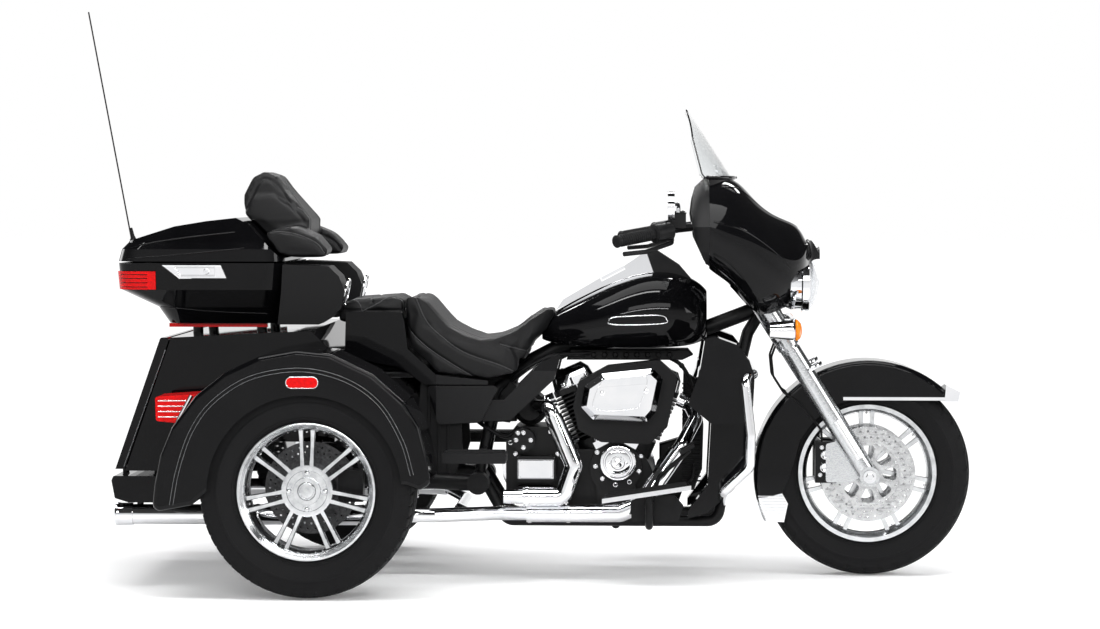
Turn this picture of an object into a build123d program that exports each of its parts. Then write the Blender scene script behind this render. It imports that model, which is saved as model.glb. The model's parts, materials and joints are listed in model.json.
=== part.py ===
from build123d import *
import os
from math import cos, radians, sin, sqrt, tan

# Three-wheeled touring motorcycle: two wheels behind, one in front, V-twin engine open to view.
# Sizes in millimetres. While it is built, X runs forward from the rear axle, Y to the rider's
# left and Z up from the floor. write() moves each piece so that the origin lies on the floor
# under the middle of the whole machine.

# Overall layout
WHEELBASE = 1693
REAR_TRACK = 1134
HEAD_ANGLE = 26
FORK_ANGLE = 32
TRAIL = 100
FENDER_WALL = 8
REAR_SIDE_CLEARANCE = 17.5   # between a rear tyre's side and its fender
SEAM = 5            # gap between a panel that opens and its neighbours
SEAT_GAP = 0.3      # gap between a piece and what it rests on
PIN_GAP = 0.4       # radial clearance of a pin in its bore

# Wheels
FRONT_TYRE_DIAMETER = 646
FRONT_TYRE_WIDTH = 130
FRONT_RIM_DIAMETER = 432
FRONT_RIM_WIDTH = 92
REAR_TYRE_DIAMETER = 642
REAR_TYRE_WIDTH = 205
REAR_RIM_DIAMETER = 412
REAR_RIM_WIDTH = 170
BODY_WIDTH = REAR_TRACK + REAR_TYRE_WIDTH + 2 * (REAR_SIDE_CLEARANCE + FENDER_WALL)
FLANGE_HEIGHT = 14
FLANGE_THICKNESS = 8
BARREL_WALL = 11
SPOKE_PAIRS = 7
SPOKE_SPACING = 34
SPOKE_WIDTH = 14
SPOKE_DEPTH = 22
AXLE_RADIUS = 14
FRONT_DISC_RADIUS = 148
FRONT_DISC_PLACE = 66
REAR_DISC_RADIUS = 138
REAR_DISC_PLACE = 44
DISC_THICKNESS = 5
DISC_CLEARANCE = 5

FRONT_AXLE_Z = FRONT_TYRE_DIAMETER / 2
REAR_AXLE_Z = REAR_TYRE_DIAMETER / 2

# Fork and handlebar
FORK_HALF_SPACING = 122
SLIDER_RADIUS = 31
FORK_TUBE_RADIUS = 24.5
FORK_COVER_RADIUS = 35
SLIDER_TOP_Z = 715
NECK_LOW_Z = 775
NECK_LENGTH = 165
NECK_RADIUS = 33
STEM_RADIUS = 17
CLAMP_THICKNESS = 26
BAR_RADIUS = 12.7
GRIP_RADIUS = 17

# Frame
RAIL_RADIUS = 17
RAIL_HALF_SPACING = 128
RAIL_Z = 180
BACKBONE_RADIUS = 24

# Engine
CRANK_X = 905
CRANK_Z = 300
CRANKCASE_RADIUS = 118
CRANKCASE_HALF_WIDTH = 95
CYLINDER_LEAN = 23.5
BARREL_START = 156
BARREL_RADIUS = 58
FIN_RADIUS = 76
FIN_COUNT = 11
FIN_PITCH = 13
FIN_THICKNESS = 4.5
ROCKER_HEIGHT = 58
ROCKER_LENGTH = 150
ROCKER_WIDTH = 116

# Rear body
TRUNK_HALF_WIDTH = 428
TRUNK_WALL = 10
DOOR_THICKNESS = 28
WHEEL_OPENING_RADIUS = 288
WHEEL_CLEARANCE = 16
MUFFLER_RADIUS = 31
MUFFLER_Z = 224
MUFFLER_Y = 392

# Tour box
BOX_HALF_WIDTH = 311
BOX_WALL = 7
BOX_SEAM_Z = 990
HINGE_Y = 333
HINGE_PIN_RADIUS = 3.5

ANTENNA_RADIUS = 2.4
ANTENNA_TIP = (-814.6, 220, 1789)
ANTENNA_BEND = (-679, 220, 1052)
ANTENNA_FOOT = (-659, 220, 945)

SIDES = (("right", -1), ("left", 1))

FRONT_END = WHEELBASE + FRONT_TYRE_DIAMETER / 2
MIDDLE_X = (FRONT_END + ANTENNA_TIP[0] - ANTENNA_RADIUS) / 2

os.makedirs("parts", exist_ok=True)


def write(piece, name):
    """Move a finished piece to the part's own origin, name it and write it."""
    moved = piece.moved(Location((-MIDDLE_X, 0, 0)))
    moved.label = name
    export_step(moved, f"parts/{name}.step")


def side(y):
    """Sketch plane seen from the right: local x forward, local y up, extrusion to the right."""
    return Plane.XZ.offset(-y)


def across(x):
    """Sketch plane across the machine: local x to the left, local y up, extrusion forward."""
    return Plane.YZ.offset(x)


def level(z):
    return Plane.XY.offset(z)


def head_x(z):
    return WHEELBASE + TRAIL - z * tan(radians(HEAD_ANGLE))


def fork_x(z):
    return WHEELBASE - (z - FRONT_AXLE_Z) * tan(radians(FORK_ANGLE))


def leaned(x, y, z, angle):
    """Plane square to an axis that leans back by an angle, local y to the left."""
    a = radians(angle)
    return Plane(origin=(x, y, z), x_dir=(cos(a), 0, sin(a)), z_dir=(-sin(a), 0, cos(a)))


def head_plane(z, y=0):
    return leaned(head_x(z), y, z, HEAD_ANGLE)


def fork_plane(z, y):
    return leaned(fork_x(z), y, z, FORK_ANGLE)


def outline(points):
    """Face inside a closed polyline, in the sketch that is open."""
    with BuildLine() as edge:
        Polyline(*points, close=True)
    make_face(edge.edges())


def soft_outline(points, radius):
    """Face inside a closed polyline with rounded corners."""
    with BuildLine() as edge:
        FilletPolyline(*points, radius=radius, close=True)
    make_face(edge.edges())


def prism(plane, points, amount, mode=Mode.ADD, both=False, radius=0):
    """Extrude a closed outline in the part that is open."""
    with BuildSketch(plane, mode=Mode.PRIVATE) as face:
        if radius:
            soft_outline(points, radius)
        else:
            outline(points)
    extrude(face.sketch, amount=amount, both=both, mode=mode)


def rod(start, end, radius, mode=Mode.ADD, end_radius=None):
    """Round bar between two points, tapered where an end radius is given."""
    a = Vector(*start)
    b = Vector(*end)
    length = (b - a).length
    plane = Plane(origin=a, z_dir=b - a)
    with Locations(plane):
        if end_radius is None:
            Cylinder(radius, length, align=(Align.CENTER, Align.CENTER, Align.MIN), mode=mode)
        else:
            Cone(radius, end_radius, length, align=(Align.CENTER, Align.CENTER, Align.MIN), mode=mode)


def bent_tube(points, radius, bend, mode=Mode.ADD):
    """Round tube along straight runs with rounded corners."""
    with BuildLine(mode=Mode.PRIVATE) as path:
        FilletPolyline(*points, radius=bend)
    with BuildSketch(Plane(origin=path.line @ 0, z_dir=path.line % 0), mode=Mode.PRIVATE) as end:
        Circle(radius)
    sweep(sections=end.sketch, path=path.line, mode=mode)


def mirrored(points, sign):
    return [(x, sign * y, z) for x, y, z in points]


def at_front(points, sign=1):
    """Points whose x is measured forward from the front axle, mirrored where the sign is -1."""
    return [(WHEELBASE + x, sign * y, z) for x, y, z in points]


def front_outline(points):
    """Side-view points whose x is measured forward from the front axle."""
    return [(WHEELBASE + x, z) for x, z in points]


# Wheels

def revolve_about_axle(points, x, z):
    """Revolve a closed section: each point is (radius, distance along the axle)."""
    with BuildSketch(Plane(origin=(x, 0, z)), mode=Mode.PRIVATE) as section:
        outline(points)
    revolve(section.sketch, axis=Axis((x, 0, z), (0, 1, 0)))


def tyre_solid(x, y, z, diameter, width, rim_diameter, rim_width):
    """Solid tyre with crowned tread and round sidewalls, seated between the rim's flanges."""
    outer = diameter / 2
    lip = rim_diameter / 2
    bead = lip - FLANGE_HEIGHT + SEAT_GAP
    half_rim = rim_width / 2 - FLANGE_THICKNESS - SEAT_GAP
    over_lip = lip + SEAT_GAP
    shoulder = outer - width * 0.09
    half_tread = width * 0.40
    bulge = (lip + outer) / 2
    with BuildSketch(Plane(origin=(x, 0, z)), mode=Mode.PRIVATE) as section:
        with BuildLine():
            Polyline(
                (over_lip, y - half_rim), (bead, y - half_rim), (bead, y + half_rim), (over_lip, y + half_rim),
            )
            ThreePointArc((over_lip, y + half_rim), (bulge, y + width / 2), (shoulder, y + half_tread))
            ThreePointArc((shoulder, y + half_tread), (outer, y), (shoulder, y - half_tread))
            ThreePointArc((shoulder, y - half_tread), (bulge, y - width / 2), (over_lip, y - half_rim))
        make_face()
    revolve(section.sketch, axis=Axis((x, 0, z), (0, 1, 0)))


def rim_barrel(x, y, z, rim_diameter, rim_width):
    lip = rim_diameter / 2
    seat = lip - FLANGE_HEIGHT
    inner = seat - BARREL_WALL
    half = rim_width / 2
    flange = half - FLANGE_THICKNESS
    drop = inner + 4
    revolve_about_axle(
        [
            (lip, y - half), (lip, y - flange), (seat, y - flange), (seat, y + flange),
            (lip, y + flange), (lip, y + half), (seat, y + half), (inner, y + half - 24),
            (drop - 8, y), (inner, y - half + 24), (seat, y - half),
        ],
        x, z,
    )


def spokes(x, y, z, inner, outer, depth):
    """Pairs of straight spokes round a hub, between two radii."""
    with BuildSketch(Plane(origin=(x, y, z), x_dir=(1, 0, 0), z_dir=(0, -1, 0)), mode=Mode.PRIVATE) as face:
        with PolarLocations(0, SPOKE_PAIRS, start_angle=90):
            with Locations(((inner + outer) / 2, SPOKE_SPACING / 2), ((inner + outer) / 2, -SPOKE_SPACING / 2)):
                Rectangle(outer - inner, SPOKE_WIDTH)
    extrude(face.sketch, amount=depth / 2, both=True)


def disc_ring(x, y, z, radius, inner):
    half = DISC_THICKNESS / 2
    revolve_about_axle([(inner, y - half), (radius, y - half), (radius, y + half), (inner, y + half)], x, z)


FRONT_BARREL_INNER = FRONT_RIM_DIAMETER / 2 - FLANGE_HEIGHT - BARREL_WALL
REAR_BARREL_INNER = REAR_RIM_DIAMETER / 2 - FLANGE_HEIGHT - BARREL_WALL
FRONT_HUB_RADIUS = 46
FRONT_HUB_HALF = FRONT_DISC_PLACE - DISC_THICKNESS / 2 - SEAT_GAP
REAR_HUB_RADIUS = 77
REAR_HUB_OUT = 66
REAR_HUB_IN = REAR_DISC_PLACE - DISC_THICKNESS / 2 - SEAT_GAP

with BuildPart() as front_tyre:
    tyre_solid(
        WHEELBASE, 0, FRONT_AXLE_Z, FRONT_TYRE_DIAMETER, FRONT_TYRE_WIDTH, FRONT_RIM_DIAMETER, FRONT_RIM_WIDTH
    )

with BuildPart() as front_rim:
    rim_barrel(WHEELBASE, 0, FRONT_AXLE_Z, FRONT_RIM_DIAMETER, FRONT_RIM_WIDTH)
    spokes(WHEELBASE, 0, FRONT_AXLE_Z, FRONT_HUB_RADIUS - 6, FRONT_BARREL_INNER + 5, SPOKE_DEPTH)
    revolve_about_axle(
        [
            (AXLE_RADIUS + PIN_GAP, -FRONT_HUB_HALF), (FRONT_HUB_RADIUS, -FRONT_HUB_HALF),
            (FRONT_HUB_RADIUS, FRONT_HUB_HALF), (AXLE_RADIUS + PIN_GAP, FRONT_HUB_HALF),
        ],
        WHEELBASE, FRONT_AXLE_Z,
    )

with BuildPart() as front_discs:
    for _, sign in SIDES:
        disc_ring(
            WHEELBASE, sign * FRONT_DISC_PLACE, FRONT_AXLE_Z, FRONT_DISC_RADIUS, AXLE_RADIUS + 12
        )

rear_tyres = {}
rear_rims = {}
rear_discs = {}
for name, sign in SIDES:
    wheel_y = sign * REAR_TRACK / 2
    with BuildPart() as tyre:
        tyre_solid(
            0, wheel_y, REAR_AXLE_Z, REAR_TYRE_DIAMETER, REAR_TYRE_WIDTH, REAR_RIM_DIAMETER, REAR_RIM_WIDTH
        )
    rear_tyres[name] = tyre.part
    with BuildPart() as rim:
        rim_barrel(0, wheel_y, REAR_AXLE_Z, REAR_RIM_DIAMETER, REAR_RIM_WIDTH)
        spokes(
            0, wheel_y + sign * (REAR_HUB_OUT - SPOKE_DEPTH), REAR_AXLE_Z,
            REAR_HUB_RADIUS - 6, REAR_BARREL_INNER + 5, SPOKE_DEPTH,
        )
        revolve_about_axle(
            [
                (AXLE_RADIUS + PIN_GAP, wheel_y - sign * REAR_HUB_IN),
                (REAR_HUB_RADIUS, wheel_y - sign * REAR_HUB_IN),
                (REAR_HUB_RADIUS, wheel_y + sign * REAR_HUB_OUT),
                (AXLE_RADIUS + PIN_GAP, wheel_y + sign * REAR_HUB_OUT),
            ],
            0, REAR_AXLE_Z,
        )
    rear_rims[name] = rim.part
    with BuildPart() as disc:
        disc_ring(0, wheel_y - sign * REAR_DISC_PLACE, REAR_AXLE_Z, REAR_DISC_RADIUS, AXLE_RADIUS + 20)
    rear_discs[name] = disc.part



# Rear axle: final drive, axle tubes, stub axles, the arms that hold them and the caliper carriers

AXLE_TUBE_RADIUS = 36
DRIVE_RADIUS = 92
DRIVE_HALF_WIDTH = 60
AXLE_TUBE_END = REAR_TRACK / 2 - REAR_DISC_PLACE - DISC_THICKNESS - 12
ARM_Y = 168
ARM_RADIUS = 26
PIVOT_X = 478
PIVOT_Z = 300
PIVOT_EYE_RADIUS = 34
REAR_STUB_END = REAR_TRACK / 2 + REAR_HUB_OUT - 14
REAR_CALIPER_X = 121
REAR_CALIPER_RISE = 8
REAR_CALIPER_LENGTH = 74
REAR_CALIPER_HALF = 26
REAR_CALIPER_HEIGHT = 96
CARRIER_THICKNESS = 12.5
CALIPER_SLOT = DISC_THICKNESS + 2 * DISC_CLEARANCE
REAR_CARRIER = [(-20, -30), (-20, 30), (60, 58), (146, 52), (146, -34), (60, -52)]

with BuildPart() as rear_axle:
    rod((0, -AXLE_TUBE_END, REAR_AXLE_Z), (0, AXLE_TUBE_END, REAR_AXLE_Z), AXLE_TUBE_RADIUS)
    rod((0, -DRIVE_HALF_WIDTH, REAR_AXLE_Z), (0, DRIVE_HALF_WIDTH, REAR_AXLE_Z), DRIVE_RADIUS)
    rod((0, -REAR_STUB_END, REAR_AXLE_Z), (0, REAR_STUB_END, REAR_AXLE_Z), AXLE_RADIUS)
    for _, sign in SIDES:
        bent_tube(
            [
                (0, sign * ARM_Y, REAR_AXLE_Z), (260, sign * ARM_Y, REAR_AXLE_Z - 10),
                (PIVOT_X, sign * ARM_Y, PIVOT_Z),
            ],
            ARM_RADIUS, 120,
        )
        rod(
            (PIVOT_X, sign * (ARM_Y - ARM_RADIUS), PIVOT_Z), (PIVOT_X, sign * (ARM_Y + 30), PIVOT_Z),
            PIVOT_EYE_RADIUS,
        )
        carrier_y = REAR_TRACK / 2 - REAR_DISC_PLACE - REAR_CALIPER_HALF - SEAT_GAP
        prism(
            side(sign * carrier_y), [(x, REAR_AXLE_Z + z) for x, z in REAR_CARRIER],
            sign * CARRIER_THICKNESS, radius=12,
        )

with BuildPart() as rear_calipers:
    for _, sign in SIDES:
        disc_y = sign * (REAR_TRACK / 2 - REAR_DISC_PLACE)
        with Locations((REAR_CALIPER_X, disc_y, REAR_AXLE_Z + REAR_CALIPER_RISE)):
            Box(REAR_CALIPER_LENGTH, 2 * REAR_CALIPER_HALF, REAR_CALIPER_HEIGHT)
        with Locations((0, disc_y, REAR_AXLE_Z)):
            Cylinder(REAR_DISC_RADIUS + DISC_CLEARANCE, CALIPER_SLOT, rotation=(90, 0, 0), mode=Mode.SUBTRACT)


# Steering: fork, handlebar and what they carry

CLAMP_LOW_TOP_Z = NECK_LOW_Z - SEAT_GAP
NECK_TOP_Z = NECK_LOW_Z + NECK_LENGTH * cos(radians(HEAD_ANGLE))
CLAMP_HIGH_Z = NECK_TOP_Z + SEAT_GAP
CLAMP_TOP_Z = CLAMP_HIGH_Z + CLAMP_THICKNESS
FORK_TOP_Z = CLAMP_HIGH_Z + 34
FORK_COVER_LOW_Z = SLIDER_TOP_Z + 8
FORK_COVER_TOP_Z = NECK_TOP_Z - 23
FENDER_HALF_WIDTH = 88
FENDER_RADIUS = 357
FENDER_SHEET = 4
FENDER_BOSS_Z = 560
FENDER_BOSS_RADIUS = 14
LAMP_BAR_Z = 808
LAMP_BAR_X = WHEELBASE - 238
LAMP_BAR_RADIUS = 9
LAMP_Z = 920
LAMP_BACK_X = WHEELBASE - 261
LAMP_STAY_Z = 938
LAMP_STAY_Y = 45
LAMP_STAY_RADIUS = 12
FRONT_CALIPER_X = -132
FRONT_CALIPER_RISE = 38
FRONT_CALIPER_LENGTH = 66
FRONT_CALIPER_HEIGHT = 128
FRONT_CALIPER_INNER = 43
FRONT_CALIPER_OUTER = 91.7
FRONT_CARRIER = [(-133, -23), (-133, 97), (-93, 107), (-43, 77), (-3, 7), (-53, -23)]

with BuildPart() as fork:
    rod(
        (head_x(CLAMP_LOW_TOP_Z - 10), 0, CLAMP_LOW_TOP_Z - 10),
        (head_x(CLAMP_HIGH_Z + 10), 0, CLAMP_HIGH_Z + 10), STEM_RADIUS,
    )
    for top_z, reach in ((CLAMP_LOW_TOP_Z, 0), (CLAMP_TOP_Z, 26)):
        with BuildSketch(head_plane(top_z), mode=Mode.PRIVATE) as plate:
            soft_outline(
                [
                    (40, -60), (40, 60), (34 - reach, FORK_HALF_SPACING + 38), (-34 - reach, FORK_HALF_SPACING + 38),
                    (-30 - reach / 2, 30), (-30 - reach / 2, -30), (-34 - reach, -FORK_HALF_SPACING - 38),
                    (34 - reach, -FORK_HALF_SPACING - 38),
                ],
                14,
            )
        extrude(plate.sketch, amount=-CLAMP_THICKNESS)
    for _, sign in SIDES:
        y = sign * FORK_HALF_SPACING
        middle = (fork_x(SLIDER_TOP_Z), y, SLIDER_TOP_Z)
        rod(middle, (fork_x(FORK_TOP_Z), y, FORK_TOP_Z), FORK_TUBE_RADIUS)
        rod((WHEELBASE, y, FRONT_AXLE_Z), middle, SLIDER_RADIUS)
        rod(
            (fork_x(FORK_COVER_LOW_Z), y, FORK_COVER_LOW_Z), (fork_x(FORK_COVER_TOP_Z), y, FORK_COVER_TOP_Z),
            FORK_COVER_RADIUS,
        )
        rod(
            (WHEELBASE, y - SLIDER_RADIUS, FRONT_AXLE_Z), (WHEELBASE, y + SLIDER_RADIUS, FRONT_AXLE_Z),
            SLIDER_RADIUS,
        )
        rod(
            (fork_x(FENDER_BOSS_Z), sign * (FENDER_HALF_WIDTH + SEAT_GAP), FENDER_BOSS_Z),
            (fork_x(FENDER_BOSS_Z), y, FENDER_BOSS_Z), FENDER_BOSS_RADIUS,
        )
        rod(
            (fork_x(LAMP_BAR_Z), y, LAMP_BAR_Z), (LAMP_BAR_X - LAMP_BAR_RADIUS - SEAT_GAP, y, LAMP_BAR_Z),
            LAMP_BAR_RADIUS,
        )
        rod(
            (head_x(LAMP_STAY_Z), sign * LAMP_STAY_Y, LAMP_STAY_Z),
            (LAMP_BACK_X - SEAT_GAP, sign * LAMP_STAY_Y, LAMP_STAY_Z), LAMP_STAY_RADIUS,
        )
        prism(
            side(sign * (FRONT_CALIPER_OUTER + SEAT_GAP)),
            front_outline([(x, FRONT_AXLE_Z + z) for x, z in FRONT_CARRIER]), -sign * CARRIER_THICKNESS, radius=8,
        )
    rod(
        (WHEELBASE, -FORK_HALF_SPACING - SLIDER_RADIUS - 1, FRONT_AXLE_Z),
        (WHEELBASE, FORK_HALF_SPACING + SLIDER_RADIUS + 1, FRONT_AXLE_Z), AXLE_RADIUS + SEAT_GAP, Mode.SUBTRACT,
    )

AXLE_NUT_RADIUS = 20
AXLE_NUT_LENGTH = 10
AXLE_SPACER_RADIUS = 19
with BuildPart() as front_axle:
    reach = FORK_HALF_SPACING + SLIDER_RADIUS
    rod((WHEELBASE, -reach, FRONT_AXLE_Z), (WHEELBASE, reach, FRONT_AXLE_Z), AXLE_RADIUS)
    for _, sign in SIDES:
        rod(
            (WHEELBASE, sign * (reach + SEAT_GAP), FRONT_AXLE_Z),
            (WHEELBASE, sign * (reach + AXLE_NUT_LENGTH), FRONT_AXLE_Z), AXLE_NUT_RADIUS,
        )
        rod((WHEELBASE, sign * (reach - 1), FRONT_AXLE_Z), (WHEELBASE, sign * (reach + 2), FRONT_AXLE_Z), AXLE_RADIUS)
        rod(
            (WHEELBASE, sign * (FRONT_DISC_PLACE + DISC_THICKNESS / 2 + SEAT_GAP), FRONT_AXLE_Z),
            (WHEELBASE, sign * (FORK_HALF_SPACING - SLIDER_RADIUS - SEAT_GAP), FRONT_AXLE_Z), AXLE_SPACER_RADIUS,
        )

with BuildPart() as front_calipers:
    for _, sign in SIDES:
        caliper_y = sign * (FRONT_CALIPER_INNER + FRONT_CALIPER_OUTER) / 2
        with Locations((WHEELBASE + FRONT_CALIPER_X, caliper_y, FRONT_AXLE_Z + FRONT_CALIPER_RISE)):
            Box(FRONT_CALIPER_LENGTH, FRONT_CALIPER_OUTER - FRONT_CALIPER_INNER, FRONT_CALIPER_HEIGHT)
        with Locations((WHEELBASE, sign * FRONT_DISC_PLACE, FRONT_AXLE_Z)):
            Cylinder(FRONT_DISC_RADIUS + DISC_CLEARANCE, CALIPER_SLOT, rotation=(90, 0, 0), mode=Mode.SUBTRACT)

BRAKE_LINE_RADIUS = 3.5
BRAKE_LINE_END = (-145, 80, FRONT_AXLE_Z + FRONT_CALIPER_RISE + FRONT_CALIPER_HEIGHT / 2 + SEAT_GAP)
BRAKE_LINE = [
    (-285, 70, 738.5), (-303, 72, 690), (-297, 80, 630), (-265, 94, 580), (-215, 97, 548), (-181, 97, 505),
    (-146, 81, 462), BRAKE_LINE_END,
]
with BuildPart() as brake_lines:
    for _, sign in SIDES:
        bent_tube(at_front(BRAKE_LINE, sign), BRAKE_LINE_RADIUS, 26)

# Front fender: a sector of a rounded drum, open below, with a metal guard on its tail
FENDER_SKIRT = [
    (-380, -85), (-352, -75), (-316, -72), (-268, -60), (-248, -16), (-229, 45), (-213, 108), (-167, 171),
    (-105, 218), (-58, 233), (281, 232), (300, 260), (300, 380), (-380, 380),
]
TAIL_GUARD = [(-380, -146), (-262, -150), (-250, -92), (-268, -60), (-316, -72), (-352, -75), (-380, -85)]
DRUM_FILLET = 16


def fender_drum(radius, half, edge_radius, skirt, drop=0):
    """Rounded drum round the front axle, cut to a side outline that may hang a little lower."""
    with BuildPart() as drum:
        with Locations((WHEELBASE, 0, FRONT_AXLE_Z)):
            Cylinder(radius, 2 * half, rotation=(90, 0, 0))
        fillet(drum.edges().filter_by(GeomType.CIRCLE), radius=edge_radius)
        prism(
            side(0), front_outline([(x, FRONT_AXLE_Z + z - drop) for x, z in skirt]), half + 10,
            Mode.INTERSECT, both=True,
        )
    return drum.part


fender_space = fender_drum(
    FENDER_RADIUS - FENDER_SHEET, FENDER_HALF_WIDTH - FENDER_SHEET, DRUM_FILLET - FENDER_SHEET,
    [(-400, -200), (-200, -200), (0, 0), (320, 150), (320, 400), (-400, 400)],
)
with BuildPart() as front_fender:
    add(fender_drum(FENDER_RADIUS, FENDER_HALF_WIDTH, DRUM_FILLET, FENDER_SKIRT))
    add(fender_space, mode=Mode.SUBTRACT)

tail_guard = fender_drum(FENDER_RADIUS, FENDER_HALF_WIDTH, DRUM_FILLET, TAIL_GUARD, SEAT_GAP) - fender_space

STRIP_HEIGHT = 10
STRIP_THICKNESS = 3.4
STRIP = (-79, 274)
TIP = [(236, 230), (240, 281), (284, 259), (278, 230)]
strip_y = FENDER_HALF_WIDTH + SEAT_GAP
strip_low = FRONT_AXLE_Z + FENDER_SKIRT[9][1]
with BuildPart() as front_trim:
    prism(
        side(0), front_outline([(x, FRONT_AXLE_Z + z) for x, z in TIP]), strip_y + STRIP_THICKNESS, both=True,
    )
    with Locations((WHEELBASE, 0, FRONT_AXLE_Z)):
        Cylinder(FENDER_RADIUS + SEAT_GAP, 2 * strip_y, rotation=(90, 0, 0), mode=Mode.SUBTRACT)
    for _, sign in SIDES:
        prism(
            side(sign * strip_y),
            front_outline([
                (STRIP[0], strip_low), (STRIP[1], strip_low), (STRIP[1], strip_low + STRIP_HEIGHT),
                (STRIP[0], strip_low + STRIP_HEIGHT),
            ]),
            -sign * STRIP_THICKNESS,
        )
    add(tail_guard)

# Handlebar on two risers
BAR_HALF = [(-431, 0, 1035), (-431, 70, 1035), (-503, 150, 1105), (-618, 335, 1088), (-776, 462, 1058)]
BAR_BEND = 45
RISER_Y = 45
RISER_SETBACK = 20
RISER_BASE_RADIUS = 17
RISER_BASE_HEIGHT = 30
RISER_RADIUS = 15
with BuildPart() as handlebar:
    for _, sign in SIDES:
        bent_tube(at_front(BAR_HALF, sign), BAR_RADIUS, BAR_BEND)
        seat = head_plane(CLAMP_TOP_Z)
        low = seat.from_local_coords((-RISER_SETBACK, sign * RISER_Y, SEAT_GAP))
        high = seat.from_local_coords((-RISER_SETBACK, sign * RISER_Y, RISER_BASE_HEIGHT))
        rod(tuple(low), tuple(high), RISER_BASE_RADIUS)
        rod(tuple(high), at_front([(BAR_HALF[0][0], sign * RISER_Y, BAR_HALF[0][2])])[0], RISER_RADIUS)

bar_inner = Vector(*at_front(BAR_HALF)[3])
bar_outer = Vector(*at_front(BAR_HALF)[4])
bar_run = (bar_outer - bar_inner).normalized()
SWITCH_RADIUS = 27
LEVER = [(-625, 300, 1062), (-613, 340, 1052), (-693, 430, 1026), (-758, 478, 1020)]
LEVER_RADIUS = 7
PERCH = (-619, 318, 1056)
RESERVOIR = (-595, 300, 1118)
RESERVOIR_SIZE = (46, 66, 44)
with BuildPart() as hand_controls:
    for _, sign in SIDES:
        grip_start = bar_inner + bar_run * 62
        grip_end = bar_outer + bar_run * 6
        box_start = bar_inner + bar_run * 4
        for a, b, r in ((grip_start, grip_end, GRIP_RADIUS), (box_start, grip_start, SWITCH_RADIUS)):
            rod((a.X, sign * a.Y, a.Z), (b.X, sign * b.Y, b.Z), r)
        bent_tube(at_front(LEVER, sign), LEVER_RADIUS, 22)
        foot, head = at_front([PERCH, (PERCH[0], PERCH[1], BAR_HALF[3][2])], sign)
        rod(foot, head, 11)
        with Locations(at_front([RESERVOIR], sign)[0]):
            Box(*RESERVOIR_SIZE)
        bent_tube(at_front(BAR_HALF, sign), BAR_RADIUS + SEAT_GAP, BAR_BEND, Mode.SUBTRACT)

MIRROR_STEM = [
    (-595, 312, RESERVOIR[2] + RESERVOIR_SIZE[2] / 2 + SEAT_GAP), (-595, 312, 1168), (-617, 420, 1168),
]
MIRROR_X = -627
with BuildPart() as mirrors:
    for _, sign in SIDES:
        bent_tube(at_front(MIRROR_STEM, sign), 6, 14)
        with BuildSketch(across(WHEELBASE + MIRROR_X), mode=Mode.PRIVATE) as glass:
            with Locations((sign * 430, 1163)):
                Ellipse(72, 44)
        extrude(glass.sketch, amount=20)

# Fork-mounted fairing: a shell lofted from front to back, with a brow over the headlamp
FAIRING_WALL = 6
FAIRING_STATIONS = [
    # x from the front axle, top z, shoulder y and z, widest y and z, cheek y and z, lower edge y and z
    (-152, 1034, 40, 1028, 62, 1010, 56, 994, 40, 985),
    (-213, 1080, 112, 1070, 190, 1005, 178, 930, 130, 862),
    (-273, 1112, 165, 1099, 272, 1004, 248, 905, 170, 845),
    (-348, 1163, 205, 1146, 335, 1042, 292, 915, 190, 833),
    (-393, 1215, 215, 1188, 362, 1062, 322, 950, 215, 868),
    (-436, 1237, 225, 1213, 378, 1078, 344, 984, 238, 916),
    (-501, 1236, 235, 1222, 390, 1100, 362, 1030, 265, 972),
]
TUNNEL_HALF = 172
TUNNEL_TOP_Z = 985
TUNNEL_LENGTH = 326
REAR_TUNNEL_HALF = 262    # wider near the back, where the tank shoulders come in when the bar is turned
REAR_TUNNEL_LENGTH = 157
LAMP_RING_RADIUS = 93
LAMP_HOLE_RADIUS = LAMP_RING_RADIUS + 2.3


def fairing_section(row, inset, x_shift=0):
    x, top, shoulder_y, shoulder_z, wide_y, wide_z, cheek_y, cheek_z, low_y, low_z = row
    half = [
        (0, top - inset), (shoulder_y - inset * 0.4, shoulder_z - inset), (wide_y - inset, wide_z),
        (cheek_y - inset, cheek_z + inset * 0.4), (low_y - inset, low_z + inset),
    ]
    other = [(-y, z) for y, z in half]
    with BuildSketch(across(WHEELBASE + x + x_shift), mode=Mode.PRIVATE) as section:
        with BuildLine() as edge:
            ThreePointArc(half[0], half[1], half[2])
            ThreePointArc(half[2], half[3], half[4])
            Line(half[4], other[4])
            ThreePointArc(other[4], other[3], other[2])
            ThreePointArc(other[2], other[1], other[0])
        make_face(edge.edges())
    return section.sketch


def screen_section(z, centre_x, edge_x, half, thickness):
    """Slice of a sheet that is curved in plan, its x measured from the front axle."""
    front = WHEELBASE + centre_x
    ends = WHEELBASE + edge_x
    with BuildSketch(level(z), mode=Mode.PRIVATE) as section:
        with BuildLine() as edge:
            ThreePointArc((ends, -half), (front, 0), (ends, half))
            Line((ends, half), (ends - thickness, half))
            ThreePointArc((ends - thickness, half), (front - thickness, 0), (ends - thickness, -half))
            Line((ends - thickness, -half), (ends, -half))
        make_face(edge.edges())
    return section.sketch


SCREEN_THICKNESS = 5
SCREEN_BASE_THICKNESS = 14
SCREEN_BASE_Z = 1243
SCREEN_HIGH_Z = 1460
SCREEN_LOW = (-423, -516, 240)
SCREEN_HIGH = (-563, -572, 205)
LAMP_NICHE = [(-150, 980), (-174, 985), (-228, 962), (-251, 925), (-255, 840), (-255, 700), (0, 700), (0, 980)]
LAMP_WALL_X = -265

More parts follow.
